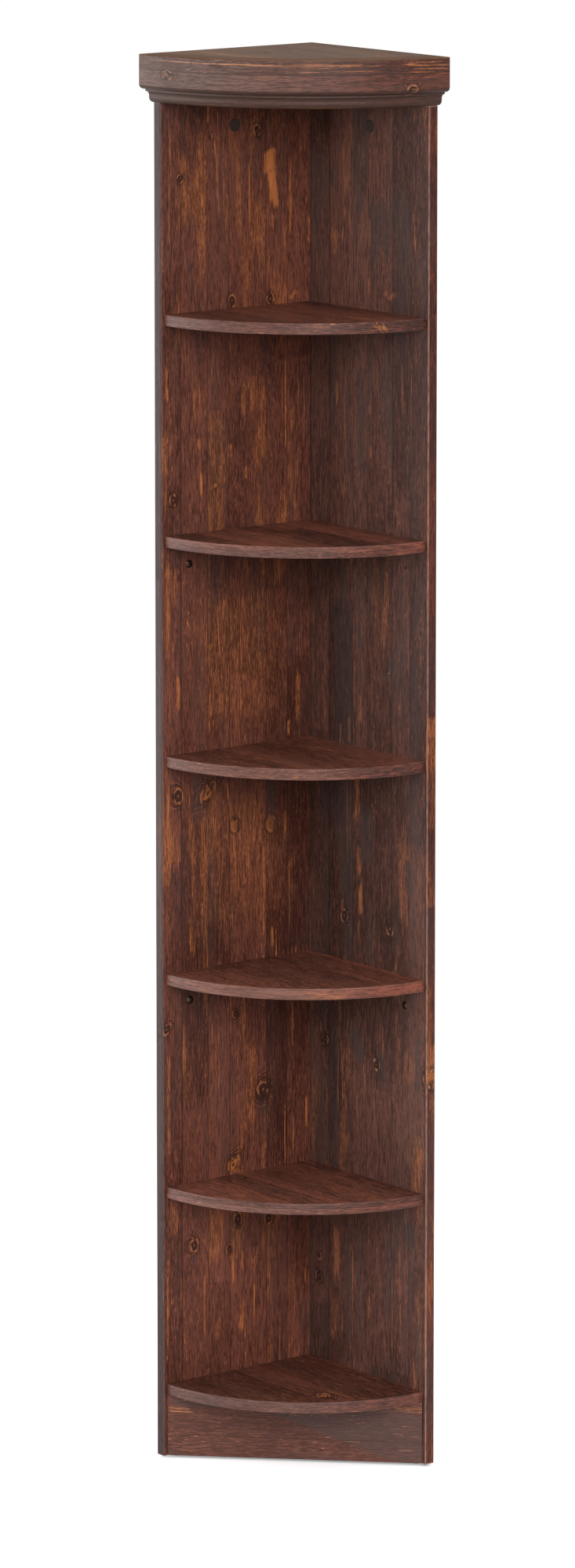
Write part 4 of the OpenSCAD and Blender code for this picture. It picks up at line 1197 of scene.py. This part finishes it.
def fitting_finish(name, dark, light, metallic, rough, grain_size, gloss=0.5, bumps=0.2):
    """A plated or moulded finish that varies between two colours in clouds and fine grains."""
    material, w, shader = new_material(name)
    place = w.here()
    cloud = w.noise(place, (140, 140, 140), 3.0)
    grain = w.noise(place, (grain_size, grain_size, grain_size), 2.0)
    w.feed(shader.inputs["Base Color"], w.mix(w.rise(cloud, 0.3, 0.7), dark, light))
    w.feed(shader.inputs["Roughness"], w.plus(w.times(grain, 0.2), rough))
    w.bump(shader, grain, bumps, FINE_RELIEF)
    shader.inputs["Metallic"].default_value = metallic
    shader.inputs["Specular IOR Level"].default_value = gloss
    return material


zinc = fitting_finish("zinc_plate", (0.34, 0.36, 0.39, 1), (0.55, 0.57, 0.60, 1), 1.0, 0.28, 1500)
bronzed = fitting_finish("browned_plate", (0.050, 0.030, 0.022, 1), (0.10, 0.062, 0.046, 1), 1.0, 0.3, 1500)
taupe_plastic = fitting_finish("taupe_plastic", (0.024, 0.015, 0.012, 1), (0.034, 0.022, 0.018, 1), 0.0, 0.5,
                               2600, gloss=0.2)
glide_plastic = fitting_finish("glide_plastic", (0.030, 0.028, 0.026, 1), (0.045, 0.042, 0.040, 1), 0.0, 0.4,
                               2000)
print("fitting finishes:", *(made.name for made in (zinc, bronzed, taupe_plastic, glide_plastic)))

# %% [markdown]
# ## Cover caps and joining sleeves
# A cap is a flat disc with a softly rounded rim over each of the two crown cams. A sleeve holds a
# joining bolt between two units: its domed head lies a hair below the inner face.

# %% Make the cover caps and the joining sleeves
CAP_T, CAP_RIM = 1.2 * MM, 0.5 * MM
CAP_BEAD_W, CAP_SLOPE_W, CAP_DISH_D = 1.2 * MM, 0.4 * MM, 0.15 * MM
PLUG_D, PLUG_SHARE = 1.2 * MM, 0.72


def wall_places(node):
    """The middle of each solid of a node on the panels' inner faces, and the way it faces."""
    places = []
    for box in solids(node):
        axis = 1 if box[1].y > INNER + MM and box[0].x < INNER - MM else 0
        places.append(on_face(box, axis, INNER))
    return places


cap_low, cap_high = solids("cover_caps")[0]
cap_r = (cap_high.z - cap_low.z) / 2
plug_r, dish_r = cap_r * PLUG_SHARE, cap_r - CAP_BEAD_W
outline = [(0, -PLUG_D), (plug_r, -PLUG_D), (plug_r, 0), (cap_r, 0)]
outline += arc((cap_r - CAP_RIM, CAP_T - CAP_RIM), CAP_RIM, CAP_RIM, 0, 90, ROUND_STEPS)
outline += [(dish_r, CAP_T), (dish_r - CAP_SLOPE_W, CAP_T - CAP_DISH_D), (0, CAP_T - CAP_DISH_D)]
set_fittings("cover_cap_pair", turned_part(outline, SHOWN_STEPS), wall_places("cover_caps"), ["cover_caps"],
             taupe_plastic)

HEAD_R, HEAD_SEAT, HEAD_SUNK = 6 * MM, 3 * MM, 0.1 * MM
SLEEVE_R, DOME_STEPS = 4 * MM, 10
outline = [(0, -BOARD), (SLEEVE_R, -BOARD), (SLEEVE_R, -HEAD_SEAT), (HEAD_R, -HEAD_SEAT)]
outline += arc((0, -HEAD_SEAT), HEAD_R, HEAD_SEAT - HEAD_SUNK, 0, 90, DOME_STEPS)
set_fittings("joining_sleeve_set", turned_part(outline, SHOWN_STEPS), wall_places("joining_sleeves"),
             ["joining_sleeves"], bronzed)

# %% [markdown]
# ## Shelf cams, corner screws and glides
# These show only from below and behind. A cam drum is a die-cast cylinder with a cross slot in its
# face. The corner screws have flat, countersunk heads with a hexagon socket. A glide is a plastic
# foot with a soft edge and a nail in its middle.

# %% Make the shelf cams
CAM_R, CAM_H = 7.4 * MM, 12 * MM
SLOT_L, SLOT_W, SLOT_D = 8 * MM, 1.6 * MM, 2 * MM
FOOT_CUT, FACE_CUT = 0.4 * MM, 0.3 * MM
outline = [(0, -CAM_H), (CAM_R - FOOT_CUT, -CAM_H), (CAM_R, -CAM_H + FOOT_CUT), (CAM_R, -FACE_CUT),
           (CAM_R - FACE_CUT, 0), (0, 0)]
slots = bmesh.new()
for sides in ((SLOT_L, SLOT_W, 2 * SLOT_D), (SLOT_W, SLOT_L, 2 * SLOT_D)):
    block = bmesh.ops.create_cube(slots, size=1)
    bmesh.ops.scale(slots, vec=sides, verts=block["verts"])
cam = without(turned_part(outline), slots, zinc)
places = [(Vector((*middle_of(box).xy, box[0].z)), DOWN) for box in cams]
set_fittings("shelf_cam_set", cam, places, ["shelf_cams"], zinc)

# %% Make the corner screws
screws = solids("corner_screws")
SCREW_R, SCREW_HEAD_R = 3.5 * MM, 5 * MM
ROOT_R, SHANK_R = 0.72 * SCREW_R, 0.8 * SCREW_R
POINT_L, SHANK_L, HEAD_L, RIM_L = 4 * MM, 10 * MM, 4 * MM, 1 * MM
PITCH, THREAD_START, NO_THREAD_L = 3 * MM, 5 * MM, 16 * MM
FLANK_FOOT, FLANK_TOP = 1.6 * MM, 2.3 * MM
SOCKET_R, SOCKET_D = 2.3 * MM, 2.5 * MM
screw_l = screws[0][1].y - screws[0][0].y
outline = [(0, -screw_l), (SCREW_R / 2, -screw_l), (SCREW_R, POINT_L - screw_l)]
for number in range(int((screw_l - NO_THREAD_L) / PITCH)):
    foot = THREAD_START - screw_l + number * PITCH
    outline += [(ROOT_R, foot), (ROOT_R, foot + FLANK_FOOT), (SCREW_R, foot + FLANK_TOP)]
outline += [(SHANK_R, -SHANK_L), (SHANK_R, -HEAD_L), (SCREW_HEAD_R, -RIM_L), (SCREW_HEAD_R, 0), (0, 0)]
hexagon = bmesh.new()
bmesh.ops.create_cone(hexagon, cap_ends=True, segments=6, radius1=SOCKET_R, radius2=SOCKET_R,
                      depth=2 * SOCKET_D)
screw = without(turned_part(outline), hexagon, zinc)
places = [(Vector((MID_BOARD, OUTER, middle_of(box).z)), (0, 1, 0)) for box in screws]
set_fittings("corner_screw_set", screw, places, ["corner_screws"], zinc)

# %% Make the glides
glide_boxes = solids("glides")
glide_r = (glide_boxes[0][1].x - glide_boxes[0][0].x) / 2
GLIDE_H = back_low.z
SOFT_EDGE = 1 * MM
NAIL_R, NAIL_POINT = 1.2 * MM, 2.4 * MM
HOLLOW_R, HOLLOW_SLOPE_W, HOLLOW_D = 3 * MM, 0.4 * MM, 0.4 * MM
nail_top = glide_boxes[0][1].z
outline = [(0, HOLLOW_D), (HOLLOW_R, HOLLOW_D), (HOLLOW_R + HOLLOW_SLOPE_W, 0)]
outline += arc((glide_r - SOFT_EDGE, SOFT_EDGE), SOFT_EDGE, SOFT_EDGE, -90, 0, ROUND_STEPS)
outline += [(glide_r, GLIDE_H), (NAIL_R, GLIDE_H), (NAIL_R, nail_top - NAIL_POINT), (0, nail_top)]
places = [(Vector((*middle_of(box).xy, 0)), UP) for box in glide_boxes]
set_fittings("glide_set", turned_part(outline), places, ["glides"], glide_plastic)

# %% [markdown]
# ## What stays as it is
# The panels, the plinth, the rails, the blocks, the dowels and the hidden bolts already have their
# exact shape in the frame. They only need their finish. Dowels are beech with a fine, pale grain.

# %% Dress the nodes that stay
def plain_beech():
    material, w, shader = new_material("beech")
    place = w.here()
    grain = w.noise(place, (500, 500, 500), 3.0)
    cloud = w.noise(place, (60, 60, 60), 2.0)
    colour = w.mix(w.rise(cloud, 0.3, 0.7), (0.50, 0.33, 0.19, 1), (0.60, 0.42, 0.26, 1))
    flecked = w.mix(w.times(w.rise(grain, 0.56, 0.7), 0.4), colour, (0.34, 0.19, 0.10, 1))
    w.feed(shader.inputs["Base Color"], flecked)
    w.feed(shader.inputs["Roughness"], w.plus(w.times(grain, 0.2), 0.5))
    w.bump(shader, grain, 0.3, FINE_RELIEF)
    return material


beech = plain_beech()
KEPT = {
    back_pine: ["back_panel"],
    side_pine: ["side_panel"],
    plinth_pine: ["plinth_board", "plinth_blocks"],
    back_rail_pine: ["crown_back_rail"],
    side_rail_pine: ["crown_side_rail"],
    beech: ["plinth_dowels", "crown_dowels", "shelf_dowels", "corner_dowels"],
    zinc: ["crown_cams", "crown_bolts", "shelf_bolts"],
}
for material, nodes in KEPT.items():
    for node in nodes:
        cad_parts[node].data.materials.clear()
        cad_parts[node].data.materials.append(material)
print("kept nodes dressed:", sum(len(nodes) for nodes in KEPT.values()))

# %% [markdown]
# ## The studio
# A pale floor under a white surround. The floor thins out to nothing well away from the unit, so
# that no edge of it shows, and keeps the soft shadow at the foot. The surround is plain white to
# the camera and in reflections, while what it sheds on the wood is strong from above and weak
# from below.

# %% Floor, surround and lamps
FLOOR_R, FLOOR_STEPS = 2.4, 96
FADE_START, FADE_END = 0.5 * FLOOR_R, 0.98 * FLOOR_R
FLOOR_GLOW = 0.28
shape = bmesh.new()
bmesh.ops.create_circle(shape, cap_ends=True, segments=FLOOR_STEPS, radius=FLOOR_R)
floor = linked("floor", mesh_of(shape, "floor"))
floor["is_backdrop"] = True
floor_material, w, shader = new_material("pale_floor")
place = w.here()
away = w.vector("LENGTH", place, gives="Value")
grain = w.noise(place, (40, 40, 40), 3.0)
w.feed(shader.inputs["Base Color"], w.mix(grain, (0.86, 0.86, 0.86, 1), (0.9, 0.9, 0.9, 1)))
shader.inputs["Roughness"].default_value = 0.9
shader.inputs["Specular IOR Level"].default_value = 0.1
shader.inputs["Emission Color"].default_value = (1, 1, 1, 1)
seen = w.node("ShaderNodeLightPath").outputs["Is Camera Ray"]
w.feed(shader.inputs["Emission Strength"], w.times(seen, FLOOR_GLOW))
w.feed(shader.inputs["Alpha"], w.fall(away, FADE_START, FADE_END))
floor.data.materials.append(floor_material)

LIGHT_ABOVE, LIGHT_BELOW = 1.15, 0.15
world = bpy.data.worlds.new("white_surround")
bpy.context.scene.world = world
world.use_nodes = True
w = Wiring(world.node_tree)
background = next(n for n in world.node_tree.nodes if n.type == "BACKGROUND")
background.inputs["Color"].default_value = (1, 1, 1, 1)
path = w.node("ShaderNodeLightPath").outputs
seen = w.most(path["Is Camera Ray"], path["Is Glossy Ray"], path["Is Transmission Ray"])
below = w.parts(w.node("ShaderNodeNewGeometry").outputs["Incoming"])[2]
shed = w.rise(below, -0.8, 0.8, LIGHT_ABOVE, LIGHT_BELOW)
w.feed(background.inputs["Strength"], w.plus(w.times(shed, w.less(1.0, seen)), seen))


def lamp(name, place, target, width, height, power):
    """A soft box at place that faces target."""
    light = bpy.data.lights.new(name, "AREA")
    light.shape = "RECTANGLE"
    light.size = width
    light.size_y = height
    light.energy = power
    made = linked(name, light)
    made.location = place
    made.rotation_euler = (Vector(target) - Vector(place)).to_track_quat("-Z", "Y").to_euler()


MIDDLE = (0, 0, 1.2)
lamp("key_lamp", (-3.8, -7.0, 4.2), MIDDLE, 3.6, 3.6, 600)
lamp("left_lamp", (-4.3, 1.35, 2.1), MIDDLE, 0.8, 1.4, 50)
lamp("back_left_lamp", (-2.8, 3.5, 1.4), MIDDLE, 3.4, 4.0, 130)
print("lamps and surround stand round", MIDDLE)

# %% [markdown]
# ## The camera
# The place of the camera was worked out from the photographed edges: it stands almost eleven metres
# off, so the uprights look nearly parallel. A small downward shift of the lens frames the unit
# while the camera itself looks down a little.

# %% Camera
CAMERA_PLACE = Vector((-6.6391, -8.4057, 3.1272))
CAMERA_YAW, CAMERA_PITCH = 38.250, 8.296
LENS_MM, SENSOR_MM, LENS_SHIFT = 162.84, 36.0, -0.2
camera_data = bpy.data.cameras.new("camera")
camera_data.sensor_width = SENSOR_MM
camera_data.lens = LENS_MM
camera_data.shift_y = LENS_SHIFT
camera_data.clip_end = 100.0
camera = linked("camera", camera_data)
camera.location = CAMERA_PLACE
camera.rotation_euler = (radians(90 - CAMERA_PITCH), 0, radians(-CAMERA_YAW))
bpy.context.scene.camera = camera
bpy.context.scene.view_settings.view_transform = "Standard"

# %% Take the bounds of the finished scene
low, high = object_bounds()
